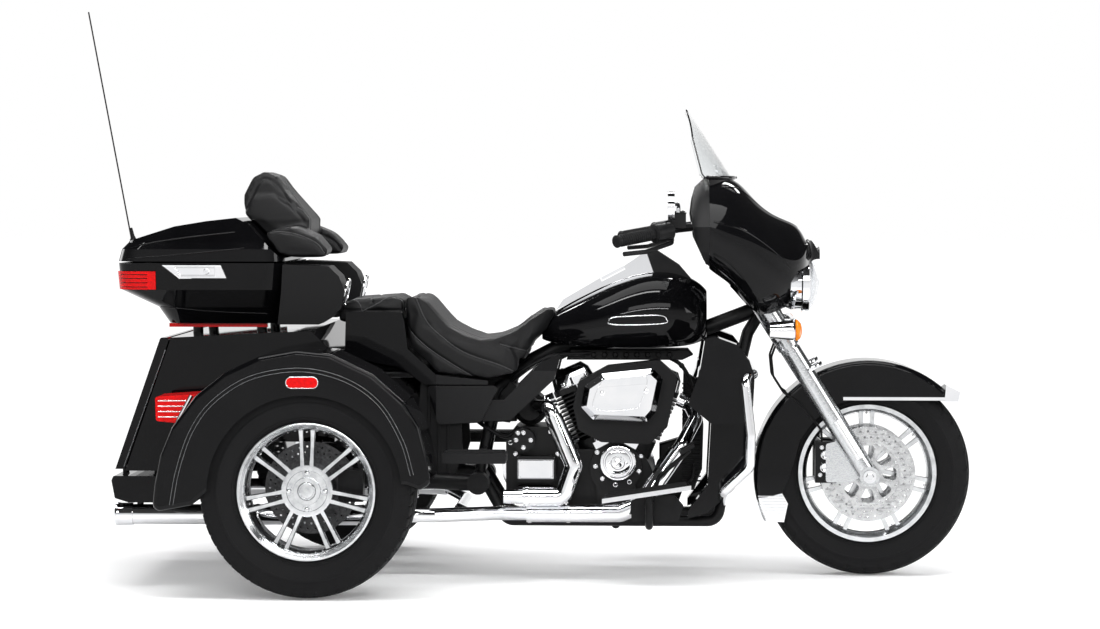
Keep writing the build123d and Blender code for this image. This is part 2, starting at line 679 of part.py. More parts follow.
with BuildPart() as fairing_space:
    loft([fairing_section(row, FAIRING_WALL, -FAIRING_WALL) for row in FAIRING_STATIONS])
    prism(
        side(0), front_outline([(LAMP_WALL_X, 780), (LAMP_WALL_X, 972), (-228, 990), (0, 990), (0, 780)]), 420,
        Mode.SUBTRACT, both=True,
    )

with BuildPart() as screen_base:
    loft(
        [
            screen_section(SCREEN_BASE_Z - 24, SCREEN_LOW[0] + 7, SCREEN_LOW[1] + 14, 232, SCREEN_BASE_THICKNESS),
            screen_section(SCREEN_BASE_Z, SCREEN_LOW[0] + 4, SCREEN_LOW[1] + 8, 236, SCREEN_BASE_THICKNESS),
        ],
        ruled=True,
    )
    rear_edge = FAIRING_STATIONS[-1][0]
    prism(
        side(0), front_outline([(rear_edge, 1200), (-400, 1200), (-400, 1260), (rear_edge, 1260)]),
        300, Mode.INTERSECT, both=True,
    )

with BuildPart() as fairing:
    loft([fairing_section(row, 0) for row in FAIRING_STATIONS])
    add(fairing_space.part, mode=Mode.SUBTRACT)
    add(screen_base.part)
    prism(
        side(0), front_outline([(-600, SCREEN_BASE_Z), (0, SCREEN_BASE_Z), (0, 1300), (-600, 1300)]), 420,
        Mode.SUBTRACT, both=True,
    )
    prism(side(0), front_outline(LAMP_NICHE), 420, Mode.SUBTRACT, both=True)
    for half, length in ((TUNNEL_HALF, TUNNEL_LENGTH), (REAR_TUNNEL_HALF, REAR_TUNNEL_LENGTH)):
        prism(
            across(WHEELBASE - 593),
            [(-half, 700), (half, 700), (half, TUNNEL_TOP_Z), (-half, TUNNEL_TOP_Z)],
            length, Mode.SUBTRACT,
        )
    with Locations((WHEELBASE - 213, 0, LAMP_Z)):
        Cylinder(LAMP_HOLE_RADIUS, 400, rotation=(0, 90, 0), mode=Mode.SUBTRACT)

INNER_SIDE = [
    (-511, 985), (-515, 994), (-545, 1060), (-557, 1136), (-552, 1181), (-541, 1222), (-516, 1246), (-400, 1260),
    (-400, 960),
]
with BuildPart() as fairing_inner:
    rear_row = FAIRING_STATIONS[-1]
    loft(
        [
            fairing_section(rear_row, inset, shift)
            for inset, shift in ((30, -58), (9, -40), (1, -SEAT_GAP))
        ]
    )
    prism(side(0), front_outline(INNER_SIDE), 420, Mode.INTERSECT, both=True)
    extrude(fairing_section(rear_row, 44, -80), amount=58, mode=Mode.SUBTRACT)
    prism(
        across(WHEELBASE - 593),
        [(-TUNNEL_HALF, 700), (TUNNEL_HALF, 700), (TUNNEL_HALF, 1010), (-TUNNEL_HALF, 1010)],
        300, Mode.SUBTRACT,
    )
    for _, sign in SIDES:
        bent_tube(at_front(BAR_HALF, sign), BAR_RADIUS + 5, BAR_BEND, Mode.SUBTRACT)

with BuildPart() as windscreen:
    loft(
        [
            screen_section(SCREEN_BASE_Z + SEAT_GAP, *SCREEN_LOW, SCREEN_THICKNESS),
            screen_section(SCREEN_HIGH_Z, *SCREEN_HIGH, SCREEN_THICKNESS),
        ],
        ruled=True,
    )
    prism(
        across(WHEELBASE - 693),
        [
            (-235, SCREEN_BASE_Z - 8), (235, SCREEN_BASE_Z - 8), (246, 1330), (165, SCREEN_HIGH_Z + 1),
            (-165, SCREEN_HIGH_Z + 1), (-246, 1330),
        ],
        400, Mode.INTERSECT, radius=40,
    )

LAMP_PROFILE = [
    (0, 0), (0, 74), (18, 84), (52, 86), (56, LAMP_RING_RADIUS), (76, LAMP_RING_RADIUS), (80, 86), (80, 80),
]
LENS_CROWN = 106
with BuildPart() as headlamp:
    with BuildSketch(Plane(origin=(LAMP_BACK_X, 0, LAMP_Z), z_dir=(0, -1, 0), x_dir=(1, 0, 0))) as half_lamp:
        with BuildLine() as edge:
            Polyline(*LAMP_PROFILE)
            ThreePointArc(LAMP_PROFILE[-1], (98, 42), (LENS_CROWN, 6))
            Line((LENS_CROWN, 6), (LENS_CROWN, 0))
            Line((LENS_CROWN, 0), (0, 0))
        make_face(edge.edges())
    revolve(axis=Axis((LAMP_BACK_X, 0, LAMP_Z), (1, 0, 0)))

SIGNAL_Y = 232
SIGNAL_Z = 781
SIGNAL_RADIUS = 31
with BuildPart() as front_lamps:
    rod((LAMP_BAR_X, -206, LAMP_BAR_Z), (LAMP_BAR_X, 206, LAMP_BAR_Z), LAMP_BAR_RADIUS)
    for _, sign in SIDES:
        back, middle, lens = at_front(
            [(-313, SIGNAL_Y, SIGNAL_Z), (-243, SIGNAL_Y, SIGNAL_Z), (-221, SIGNAL_Y, SIGNAL_Z)], sign
        )
        rod(back, middle, SIGNAL_RADIUS - 6, end_radius=SIGNAL_RADIUS)
        rod(middle, lens, SIGNAL_RADIUS, end_radius=SIGNAL_RADIUS - 6)
        rod(
            (LAMP_BAR_X, sign * 202, LAMP_BAR_Z), (LAMP_BAR_X - 12, sign * (SIGNAL_Y - 10), SIGNAL_Z + 12),
            LAMP_BAR_RADIUS,
        )

# Frame

NECK_ROOT = (head_x(850), 0, 850)
BACKBONE = [NECK_ROOT, (1190, 0, 778), (720, 0, 716), (575, 0, 640), (545, 0, 480)]
DOWN_TUBE_TOP = (-393, 62, 690)
DOWN_TUBE_FOOT = (-431, 112, 400)
CRADLE_FRONT = [(-317, 8, 858), (-375, 40, 762), DOWN_TUBE_TOP, DOWN_TUBE_FOOT, (-471, RAIL_HALF_SPACING, RAIL_Z)]
CRADLE_REAR = [
    (565, RAIL_HALF_SPACING, RAIL_Z), (PIVOT_X, RAIL_HALF_SPACING - 25, 330), (530, 90, 590), (640, 20, 672),
]
CRADLE = at_front(CRADLE_FRONT) + CRADLE_REAR
SUBRAIL_Z = 640
SUBRAIL_Y = 150
SUBRAIL_RADIUS = 13
TRUNK_FRONT_X = 60
SUBRAIL = [
    (560, 0, 600), (430, 90, SUBRAIL_Z), (240, SUBRAIL_Y, SUBRAIL_Z), (TRUNK_FRONT_X + SEAT_GAP, SUBRAIL_Y, SUBRAIL_Z),
]
CROSSBAR_RADIUS = 14
TANK_TUNNEL_Z = 812
TANK_POST_X = (800, 1100)
GEARBOX_FLOOR_Z = 240
GEARBOX_PAD = (650, 70)
BOARD_BRACKET_X = 1010
BOARD_BRACKET_Y = 300
BOARD_BRACKET_RADIUS = 12
REAR_BOARD_INNER_Y = 326
REAR_BOARD_STAY = (492, 95, 400)
COVER_STAY = (520, 92, 540)
BLADE_INNER_Y = 160
BOARD_REAR = (868, 262)
BOARD_FRONT = (1138, 304)
BOARD_THICKNESS = 14


def board_low_z(x):
    """Height of the rider boards' sloping underside."""
    rise = (BOARD_FRONT[1] - BOARD_REAR[1]) / (BOARD_FRONT[0] - BOARD_REAR[0])
    return BOARD_REAR[1] + (x - BOARD_REAR[0]) * rise


with BuildPart() as frame:
    with BuildSketch(head_plane(NECK_LOW_Z), mode=Mode.PRIVATE) as ring:
        Circle(NECK_RADIUS)
    extrude(ring.sketch, amount=NECK_LENGTH)
    bent_tube(BACKBONE, BACKBONE_RADIUS, 60)
    for x in TANK_POST_X:
        rod((x, 0, 740), (x, 0, TANK_TUNNEL_Z - SEAT_GAP), 20)
    for _, sign in SIDES:
        bent_tube(mirrored(CRADLE, sign), RAIL_RADIUS, 38)
        bent_tube(mirrored(SUBRAIL, sign), SUBRAIL_RADIUS, 40)
        rod(
            (GEARBOX_PAD[0], sign * GEARBOX_PAD[1], RAIL_Z),
            (GEARBOX_PAD[0], sign * GEARBOX_PAD[1], GEARBOX_FLOOR_Z - SEAT_GAP), 16,
        )
        bracket_top = board_low_z(BOARD_BRACKET_X - BOARD_BRACKET_RADIUS) - SEAT_GAP
        bent_tube(
            [
                (BOARD_BRACKET_X, sign * RAIL_HALF_SPACING, RAIL_Z), (BOARD_BRACKET_X, sign * BOARD_BRACKET_Y, RAIL_Z),
                (BOARD_BRACKET_X, sign * BOARD_BRACKET_Y, bracket_top),
            ],
            BOARD_BRACKET_RADIUS, 30,
        )
        for (x, y, z), end_y in (
            (REAR_BOARD_STAY, REAR_BOARD_INNER_Y - SEAT_GAP), (COVER_STAY, BLADE_INNER_Y - SEAT_GAP)
        ):
            rod((x, sign * y, z), (x, sign * end_y, z), 10)
    bar_half = RAIL_HALF_SPACING - 10
    crossbars = (
        (GEARBOX_PAD[0], RAIL_Z), (CRANK_X, CRANK_Z - CRANKCASE_RADIUS - SEAT_GAP - CROSSBAR_RADIUS), (1150, RAIL_Z),
        (PIVOT_X, 330),
    )
    for x, z in crossbars:
        rod((x, -bar_half, z), (x, bar_half, z), CROSSBAR_RADIUS)
    pivot_end = ARM_Y - ARM_RADIUS - SEAT_GAP
    rod((PIVOT_X, -pivot_end, PIVOT_Z), (PIVOT_X, pivot_end, PIVOT_Z), 20)
    rod(
        (head_x(NECK_LOW_Z - 20), 0, NECK_LOW_Z - 20), (head_x(NECK_TOP_Z + 20), 0, NECK_TOP_Z + 20),
        STEM_RADIUS + PIN_GAP, Mode.SUBTRACT,
    )

# Engine

def on_cylinder(lean_sign, distance, y=0):
    """Plane square to a cylinder's axis at a distance from the crankshaft."""
    a = radians(CYLINDER_LEAN) * lean_sign
    centre = (CRANK_X + distance * sin(a), y, CRANK_Z + distance * cos(a))
    return Plane(origin=centre, x_dir=(cos(a), 0, -sin(a)), z_dir=(sin(a), 0, cos(a)))


CYLINDERS = (-1, 1)
FIN_START = BARREL_START + 12
HEAD_THICKNESS = 18
HEAD_TOP = FIN_START + FIN_COUNT * FIN_PITCH + HEAD_THICKNESS
V_GAP = 3
CHEST_Z = CRANK_Z + 44
CHEST_RADIUS = 80
CHEST_DEPTH = 34

with BuildPart() as crankcase:
    rod((CRANK_X, -CRANKCASE_HALF_WIDTH, CRANK_Z), (CRANK_X, CRANKCASE_HALF_WIDTH, CRANK_Z), CRANKCASE_RADIUS)
    prism(
        side(0), [(CRANK_X - 150, 196), (CRANK_X + 40, 182), (CRANK_X + 40, 400), (CRANK_X - 150, 400)],
        CRANKCASE_HALF_WIDTH, both=True, radius=20,
    )
    for lean in CYLINDERS:
        with BuildSketch(on_cylinder(lean, 40), mode=Mode.PRIVATE) as deck:
            RectangleRounded(136, 150, 40)
        extrude(deck.sketch, amount=BARREL_START - 40)
    with BuildSketch(side(-CRANKCASE_HALF_WIDTH), mode=Mode.PRIVATE) as chest:
        with Locations((CRANK_X, CHEST_Z)):
            Circle(CHEST_RADIUS)
        with Locations((CRANK_X, CRANK_Z - 40)):
            Rectangle(120, 100)
    extrude(chest.sketch, amount=CHEST_DEPTH)

with BuildPart() as cylinders:
    for lean in CYLINDERS:
        with BuildSketch(on_cylinder(lean, BARREL_START), mode=Mode.PRIVATE) as core:
            Circle(BARREL_RADIUS)
        extrude(core.sketch, amount=HEAD_TOP - BARREL_START)
        for i in range(FIN_COUNT):
            with BuildSketch(on_cylinder(lean, FIN_START + i * FIN_PITCH), mode=Mode.PRIVATE) as fin:
                RectangleRounded(2 * FIN_RADIUS, 2 * FIN_RADIUS - 8, 34)
            extrude(fin.sketch, amount=FIN_THICKNESS)
        with BuildSketch(on_cylinder(lean, HEAD_TOP - HEAD_THICKNESS), mode=Mode.PRIVATE) as head:
            RectangleRounded(2 * FIN_RADIUS - 8, 2 * FIN_RADIUS - 14, 20)
        extrude(head.sketch, amount=HEAD_THICKNESS)
    with Locations((CRANK_X, 0, CRANK_Z + 200)):
        Box(2 * V_GAP, 300, 400, mode=Mode.SUBTRACT)

# Pushrods stand on lifter blocks round the cam chest and end under bosses on the rocker boxes
LIFTER_ANGLE = 28
LIFTER_LENGTH = 54
LIFTER_HEIGHT = 22
LIFTER_DEPTH = 27
PUSHROD_RADIUS = 8
PUSHROD_STEP = 13
PUSHROD_LOW_Y = -CRANKCASE_HALF_WIDTH - 14
PUSHROD_HIGH_Y = -84
BOSS_CENTRE = -22
BOSS_LENGTH = 58

with BuildPart() as rocker_boxes:
    for lean in CYLINDERS:
        with BuildSketch(on_cylinder(lean, HEAD_TOP), mode=Mode.PRIVATE) as low:
            RectangleRounded(ROCKER_LENGTH - 14, ROCKER_WIDTH + 16, 18)
        with BuildSketch(on_cylinder(lean, HEAD_TOP + ROCKER_HEIGHT - 22), mode=Mode.PRIVATE) as high:
            RectangleRounded(ROCKER_LENGTH - 26, ROCKER_WIDTH, 18)
        with BuildSketch(on_cylinder(lean, HEAD_TOP + ROCKER_HEIGHT), mode=Mode.PRIVATE) as crown:
            RectangleRounded(ROCKER_LENGTH - 62, ROCKER_WIDTH - 40, 18)
        loft([low.sketch, high.sketch, crown.sketch], ruled=True)
        with BuildSketch(on_cylinder(lean, HEAD_TOP), mode=Mode.PRIVATE) as boss:
            with Locations((lean * BOSS_CENTRE, -ROCKER_WIDTH / 2 - 16)):
                RectangleRounded(BOSS_LENGTH, 50, 12)
        extrude(boss.sketch, amount=26)

with BuildPart() as pushrod_tubes:
    for lean in CYLINDERS:
        a = radians(LIFTER_ANGLE) * lean
        chest_reach = CHEST_RADIUS + SEAT_GAP
        block_plane = Plane(
            origin=(CRANK_X + chest_reach * sin(a), PUSHROD_LOW_Y, CHEST_Z + chest_reach * cos(a)),
            x_dir=(cos(a), 0, -sin(a)), z_dir=(sin(a), 0, cos(a)),
        )
        head_seat = on_cylinder(lean, HEAD_TOP - SEAT_GAP)
        for step in (-PUSHROD_STEP, PUSHROD_STEP):
            base = block_plane.from_local_coords((step, 0, LIFTER_HEIGHT - 1))
            tip = head_seat.from_local_coords((lean * BOSS_CENTRE + step, PUSHROD_HIGH_Y, 8))
            rod(tuple(base), tuple(tip), PUSHROD_RADIUS)
        with BuildSketch(head_seat, mode=Mode.PRIVATE) as above:
            with Locations((lean * BOSS_CENTRE, PUSHROD_HIGH_Y)):
                Rectangle(120, 60)
        extrude(above.sketch, amount=40, mode=Mode.SUBTRACT)
        with BuildSketch(block_plane, mode=Mode.PRIVATE) as block:
            Rectangle(LIFTER_LENGTH, LIFTER_DEPTH)
        extrude(block.sketch, amount=LIFTER_HEIGHT)

CAM_COVER = (912, 364)
CAM_COVER_RADIUS = 56
with BuildPart() as cam_cover:
    cover_y = -CRANKCASE_HALF_WIDTH - CHEST_DEPTH - SEAT_GAP
    x, z = CAM_COVER
    rod((x, cover_y, z), (x, cover_y - 12, z), CAM_COVER_RADIUS)
    rod((x, cover_y - 12, z), (x, cover_y - 26, z), CAM_COVER_RADIUS - 6, end_radius=CAM_COVER_RADIUS - 12)

CLEANER_BACK = [
    (790, 470), (774, 540), (790, 618), (880, 668), (1040, 686), (1096, 636), (1066, 480), (1010, 425), (860, 432),
]
CLEANER_FACE = [
    (800, 545), (812, 612), (866, 648), (1020, 664), (1052, 634), (1030, 530), (1004, 500), (836, 506),
]
CLEANER_Y = -126
CLEANER_DEPTH = 76
CLEANER_COVER_DEPTH = 72
CLEANER_COVER_SLOPE = 22
INTAKE_Z = 629
INTAKE_RADIUS = 24
INTAKE_PORT_RADIUS = 16
with BuildPart() as air_cleaner_back:
    prism(side(CLEANER_Y), CLEANER_BACK, CLEANER_DEPTH, radius=14)
    rod((CRANK_X, 0, INTAKE_Z), (CRANK_X, CLEANER_Y, INTAKE_Z), INTAKE_RADIUS)
    for lean in CYLINDERS:
        a = radians(CYLINDER_LEAN)
        fin_face = (FIN_RADIUS + SEAT_GAP) * cos(a) - (INTAKE_Z - CRANK_Z - (FIN_RADIUS + SEAT_GAP) * sin(a)) * tan(a)
        port = -fin_face * cos(a)
        rod(
            (CRANK_X, 0, INTAKE_Z), (CRANK_X + lean * port * cos(a), 0, INTAKE_Z - port * sin(a)),
            INTAKE_PORT_RADIUS,
        )
with BuildPart() as air_cleaner:
    cover_back = CLEANER_Y - CLEANER_DEPTH - SEAT_GAP
    straight = CLEANER_COVER_DEPTH - CLEANER_COVER_SLOPE
    prism(side(cover_back), CLEANER_FACE, straight, radius=12)
    with BuildSketch(side(cover_back - straight), mode=Mode.PRIVATE) as face:
        soft_outline(CLEANER_FACE, 12)
    extrude(face.sketch, amount=CLEANER_COVER_SLOPE, taper=38)
    prism(
        side(cover_back - CLEANER_COVER_DEPTH + 2),
        [(842, 556), (850, 606), (1000, 618), (1014, 596), (1004, 556)], 8, radius=10,
    )

GEARBOX_HALF = CRANKCASE_HALF_WIDTH
GEARBOX_COVER_DEPTH = 55
with BuildPart() as transmission:
    prism(
        side(0), [(560, GEARBOX_FLOOR_Z), (745, GEARBOX_FLOOR_Z), (745, 440), (700, 470), (590, 470), (560, 430)],
        GEARBOX_HALF, both=True, radius=18,
    )
    with BuildSketch(side(-GEARBOX_HALF), mode=Mode.PRIVATE) as covers:
        with Locations((617, 433)):
            Circle(36)
        with Locations((656, 342)):
            RectangleRounded(124, 80, 14)
        with Locations((654, 268)):
            RectangleRounded(128, 40, 18)
    extrude(covers.sketch, amount=GEARBOX_COVER_DEPTH)

PRIMARY_Y = CRANKCASE_HALF_WIDTH + SEAT_GAP
PRIMARY_DEPTH = 88
with BuildPart() as primary_cover:
    with BuildSketch(side(PRIMARY_Y), mode=Mode.PRIVATE) as stadium:
        with BuildLine() as edge:
            front = CenterArc((CRANK_X, CRANK_Z + 26), 122, -93, 186)
            back = CenterArc((644, 325), 108, 93, 174)
            Line(front @ 1, back @ 0)
            Line(back @ 1, front @ 0)
        make_face(edge.edges())
    extrude(stadium.sketch, amount=-PRIMARY_DEPTH)
    fillet(primary_cover.faces().sort_by(Axis.Y)[-1].edges(), radius=20)

# Exhaust: two headers with heat shields, a crossover pipe and a muffler on each side
HEADER_RADIUS = 22
HEAT_SHIELD_RADIUS = 28
CROSSOVER_RADIUS = 20
MUFFLER_START_X = 240
HEADER_FRONT = [
    (1098.6, -30, 553.8), (1137, -30, 537), (1156, -100, 500), (1110, -176, 420), (985, -198, 240),
    (920, -202, 212), (560, -214, 212), (350, -376, 222), (300, -MUFFLER_Y, MUFFLER_Z),
    (MUFFLER_START_X + SEAT_GAP, -MUFFLER_Y, MUFFLER_Z),
]
HEADER_REAR = [
    (711.4, -30, 553.8), (676, -30, 538.4), (656, -110, 536), (700, -206, 540), (778, -224, 360),
    (744, -224, 264), (560, -228, 264),
]
FRONT_SHIELD = [(1096, -178.5, 400), (985, -198, 240), (920, -202, 212), (630, -211.7, 212)]
REAR_SHIELD = [(711.7, -208.7, 513), (778, -224, 360), (744, -224, 264), (620, -226.7, 264)]
CROSSOVER = [
    (455, -295, 217), (420, -150, 215), (420, 150, 215), (350, 376, 222), (300, MUFFLER_Y, MUFFLER_Z),
    (MUFFLER_START_X + SEAT_GAP, MUFFLER_Y, MUFFLER_Z),
]
with BuildPart() as header_pipes:
    bent_tube(HEADER_FRONT, HEADER_RADIUS, 30)
    bent_tube(HEADER_REAR, HEADER_RADIUS, 30)
    bent_tube(FRONT_SHIELD, HEAT_SHIELD_RADIUS, 30)
    bent_tube(REAR_SHIELD, HEAT_SHIELD_RADIUS, 30)
    bent_tube(CROSSOVER, CROSSOVER_RADIUS, 30)

MUFFLER_END_X = -612
MUFFLER_TIP_LENGTH = 52
with BuildPart() as mufflers:
    for _, sign in SIDES:
        y = sign * MUFFLER_Y
        tip_start = MUFFLER_END_X + MUFFLER_TIP_LENGTH
        rod((MUFFLER_START_X, y, MUFFLER_Z), (tip_start, y, MUFFLER_Z), MUFFLER_RADIUS)
        rod((tip_start, y, MUFFLER_Z), (MUFFLER_END_X, y, MUFFLER_Z), MUFFLER_RADIUS + 4)
        rod((tip_start + 20, y, MUFFLER_Z), (MUFFLER_END_X - 8, y, MUFFLER_Z), MUFFLER_RADIUS - 1, Mode.SUBTRACT)

# Tank, console and seats

TANK_STATIONS = [
    # x, bottom z, half width at the bottom, widest half width, its z, half width at the shoulder, its z, top z
    (672, 742, 40, 62, 765, 45, 790, 800),
    (740, 728, 90, 118, 775, 80, 830, 846),
    (880, 722, 128, 168, 800, 110, 896, 916),
    (1040, 722, 130, 182, 820, 120, 938, 956),
    (1140, 730, 104, 152, 820, 98, 914, 934),
    (1188, 752, 60, 96, 820, 62, 880, 896),
]


def tank_section(row):
    x, low_z, low_y, wide_y, wide_z, high_y, high_z, top = row
    with BuildSketch(across(x), mode=Mode.PRIVATE) as section:
        with BuildLine() as edge:
            Line((-low_y, low_z), (low_y, low_z))
            ThreePointArc((low_y, low_z), (wide_y, wide_z), (high_y, high_z))
            ThreePointArc((high_y, high_z), (0, top), (-high_y, high_z))
            ThreePointArc((-high_y, high_z), (-wide_y, wide_z), (-low_y, low_z))
        make_face(edge.edges())
    return section.sketch


CONSOLE = [
    (716, 836), (852, 904), (940, 938), (1006, 950), (1060, 946), (1110, 932), (1134, 926), (1150, 921),
    (1102, 977), (1024, 1028), (1008, 1026), (940, 980), (852, 934), (736, 866),
]
CONSOLE_HALF_WIDTH = 38
FUEL_DOOR_REAR = (852, 934)
FUEL_DOOR_FRONT = (940, 980)
FUEL_DOOR_THICKNESS = 8
FUEL_DOOR_RECESS = FUEL_DOOR_THICKNESS + SEAM
FUEL_DOOR_LIFT = 10
TANK_TUNNEL_HALF = 40
with BuildPart() as fuel_tank:
    loft([tank_section(row) for row in TANK_STATIONS])
    prism(
        across(600),
        [
            (-TANK_TUNNEL_HALF, 690), (TANK_TUNNEL_HALF, 690),
            (TANK_TUNNEL_HALF, TANK_TUNNEL_Z), (-TANK_TUNNEL_HALF, TANK_TUNNEL_Z),
        ],
        640, Mode.SUBTRACT,
    )
    prism(side(0), CONSOLE, CONSOLE_HALF_WIDTH + 2, Mode.SUBTRACT, both=True)


def along_door(distance, depth):
    """Side-view point on the fuel door's line, from its rear end and down from its top."""
    run = Vector(*FUEL_DOOR_FRONT) - Vector(*FUEL_DOOR_REAR)
    ahead = run.normalized()
    point = Vector(*FUEL_DOOR_REAR) + ahead * distance + Vector(ahead.Y, -ahead.X) * depth
    return (point.X, point.Y)


FUEL_DOOR_RUN = (Vector(*FUEL_DOOR_FRONT) - Vector(*FUEL_DOOR_REAR)).length
FUEL_HINGE = along_door(FUEL_DOOR_RUN - 9, FUEL_DOOR_THICKNESS - 3)
FUEL_PIN_RADIUS = 2
FUEL_LUG_Y = CONSOLE_HALF_WIDTH - 8
with BuildPart() as tank_console:
    prism(side(0), CONSOLE, CONSOLE_HALF_WIDTH, both=True)
    prism(
        side(0),
        [
            along_door(0, -FUEL_DOOR_LIFT), along_door(0, FUEL_DOOR_RECESS),
            along_door(FUEL_DOOR_RUN, FUEL_DOOR_RECESS), along_door(FUEL_DOOR_RUN, -FUEL_DOOR_LIFT),
        ],
        CONSOLE_HALF_WIDTH + 1, Mode.SUBTRACT, both=True,
    )
    for _, sign in SIDES:
        prism(
            side(sign * FUEL_LUG_Y),
            [
                along_door(FUEL_DOOR_RUN - 14, 2), along_door(FUEL_DOOR_RUN - 14, FUEL_DOOR_RECESS + 1),
                along_door(FUEL_DOOR_RUN + 1, FUEL_DOOR_RECESS + 1), along_door(FUEL_DOOR_RUN + 1, 0),
            ],
            4, both=True,
        )
    rod((FUEL_HINGE[0], -FUEL_LUG_Y, FUEL_HINGE[1]), (FUEL_HINGE[0], FUEL_LUG_Y, FUEL_HINGE[1]), FUEL_PIN_RADIUS)

with BuildPart() as fuel_door:
    prism(
        side(0),
        [
            along_door(SEAM, 0), along_door(SEAM, FUEL_DOOR_THICKNESS),
            along_door(FUEL_DOOR_RUN - 20, FUEL_DOOR_THICKNESS), along_door(FUEL_DOOR_RUN - 20, 0),
        ],
        CONSOLE_HALF_WIDTH, both=True,
    )
    prism(
        side(0),
        [
            along_door(FUEL_DOOR_RUN - 21, 0), along_door(FUEL_DOOR_RUN - 21, FUEL_DOOR_THICKNESS),
            along_door(FUEL_DOOR_RUN - 9, FUEL_DOOR_THICKNESS + 1), along_door(FUEL_DOOR_RUN - 6, 2),
        ],
        FUEL_LUG_Y - 9, both=True,
    )
    rod(
        (FUEL_HINGE[0], -FUEL_LUG_Y, FUEL_HINGE[1]), (FUEL_HINGE[0], FUEL_LUG_Y, FUEL_HINGE[1]),
        FUEL_PIN_RADIUS + PIN_GAP, Mode.SUBTRACT,
    )

RIDER_SEAT = [
    (262, 720), (252, 884), (290, 890), (323, 866), (361, 822), (390, 792), (437, 767), (488, 748), (539, 755),
    (596, 780), (640, 816), (690, 850), (714, 846), (716, 800), (655, 740), (604, 640), (510, 622), (350, 640),
]
RIDER_SEAT_HALF = 206
SEAT_TUNNEL_HALF = 168
with BuildPart() as rider_seat:
    prism(side(0), RIDER_SEAT, RIDER_SEAT_HALF, both=True, radius=8)
    prism(
        level(560),
        [
            (240, -RIDER_SEAT_HALF), (560, -RIDER_SEAT_HALF), (640, -150), (730, -62), (730, 62), (640, 150),
            (560, RIDER_SEAT_HALF), (240, RIDER_SEAT_HALF),
        ],
        400, Mode.INTERSECT, radius=24,
    )
    prism(
        across(200),
        [(-SEAT_TUNNEL_HALF, 600), (SEAT_TUNNEL_HALF, 600), (SEAT_TUNNEL_HALF, 690), (-SEAT_TUNNEL_HALF, 690)],
        420, Mode.SUBTRACT,
    )
    prism(across(560), [(-60, 600), (60, 600), (60, 722), (-60, 722)], 120, Mode.SUBTRACT)
    add(fuel_tank.part, mode=Mode.SUBTRACT)
    add(tank_console.part, mode=Mode.SUBTRACT)

SEAT_BASE_Z = 800
PASSENGER_SEAT = [(40, SEAT_BASE_Z), (40, 856), (90, 872), (215, 880), (248, 872), (248, SEAT_BASE_Z)]
PASSENGER_SEAT_HALF = 178
with BuildPart() as passenger_seat:
    prism(side(0), PASSENGER_SEAT, PASSENGER_SEAT_HALF, both=True, radius=10)

# Centre body under the seats, its outer panels, and a side cover with a blade on each side
SEAT_BACK_LOW = (RIDER_SEAT[0][0] - SEAT_GAP, RIDER_SEAT[0][1] - SEAT_GAP)
CORE = [
    (74, SUBRAIL_Z + SUBRAIL_RADIUS + SEAT_GAP), (74, SEAT_BASE_Z - SEAT_GAP), (250, SEAT_BASE_Z - SEAT_GAP),
    SEAT_BACK_LOW, (330, 657.6), (240, SUBRAIL_Z + SUBRAIL_RADIUS + SEAT_GAP),
]
OUTER_PANEL = [
    (66, 700), (70, 834), (243, 834), (252, SEAT_BASE_Z), SEAT_BACK_LOW, (349.7, 639.7), (510, 621.7), (511, 610),
    (313, 610), (235, 664), (167, 676),
]
PANEL_INNER_Y = PASSENGER_SEAT_HALF + SEAT_GAP
PANEL_THICKNESS = 32
SIDE_COVER = [(319, 606), (545, 606), (489, 494), (356, 485)]
SIDE_COVER_INNER_Y = 186
SIDE_COVER_THICKNESS = 22
BLADE = [(737, 706), (672, 676), (560, 562), (500, 560), (489, 494), (579, 498), (715, 625)]
with BuildPart() as body_panels:
    prism(side(0), CORE, PANEL_INNER_Y + 2, both=True)
    for _, sign in SIDES:
        prism(side(sign * PANEL_INNER_Y), OUTER_PANEL, -sign * PANEL_THICKNESS, radius=3)
        prism(side(sign * SIDE_COVER_INNER_Y), SIDE_COVER, -sign * SIDE_COVER_THICKNESS, radius=12)
        prism(side(sign * BLADE_INNER_Y), BLADE, -sign * (SIDE_COVER_INNER_Y - BLADE_INNER_Y + 4), radius=5)

# Rear body: trunk shell, its door, fascia and fenders

DOOR_SLOPE = 0.35


def door_x(z, inset=0):
    """Where the rear face of the trunk stands at a height, measured inwards along X."""
    return -470 + (z - 765) * DOOR_SLOPE + inset


TRUNK_FLOOR_Z = 360
TRUNK_TOP_REAR_Z = 765
TRUNK_TOP_FRONT_Z = 786
TRUNK_TOP_FRONT_X = -12
TRUNK_STEP_Z = 450
TRUNK_STEP_X = -175


def trunk_outline(inset):
    """Side outline of the trunk shell, or of the space inside it."""
    rear = DOOR_THICKNESS + SEAM - 3 * inset
    return [
        (door_x(TRUNK_TOP_REAR_Z - inset, rear), TRUNK_TOP_REAR_Z - inset),
        (TRUNK_TOP_FRONT_X, TRUNK_TOP_FRONT_Z - inset),
        (TRUNK_FRONT_X - inset, 716),
        (TRUNK_FRONT_X - inset, TRUNK_STEP_Z + inset),
        (TRUNK_STEP_X - inset, TRUNK_STEP_Z + inset),
        (TRUNK_STEP_X - inset, TRUNK_FLOOR_Z + inset),
        (door_x(TRUNK_FLOOR_Z + inset, rear), TRUNK_FLOOR_Z + inset),
    ]


def trunk_top_z(x):
    """Height of the trunk's sloping top at a place along the machine."""
    rear_x = door_x(TRUNK_TOP_REAR_Z, DOOR_THICKNESS + SEAM)
    slope = (TRUNK_TOP_FRONT_Z - TRUNK_TOP_REAR_Z) / (TRUNK_TOP_FRONT_X - rear_x)
    return TRUNK_TOP_REAR_Z + (x - rear_x) * slope


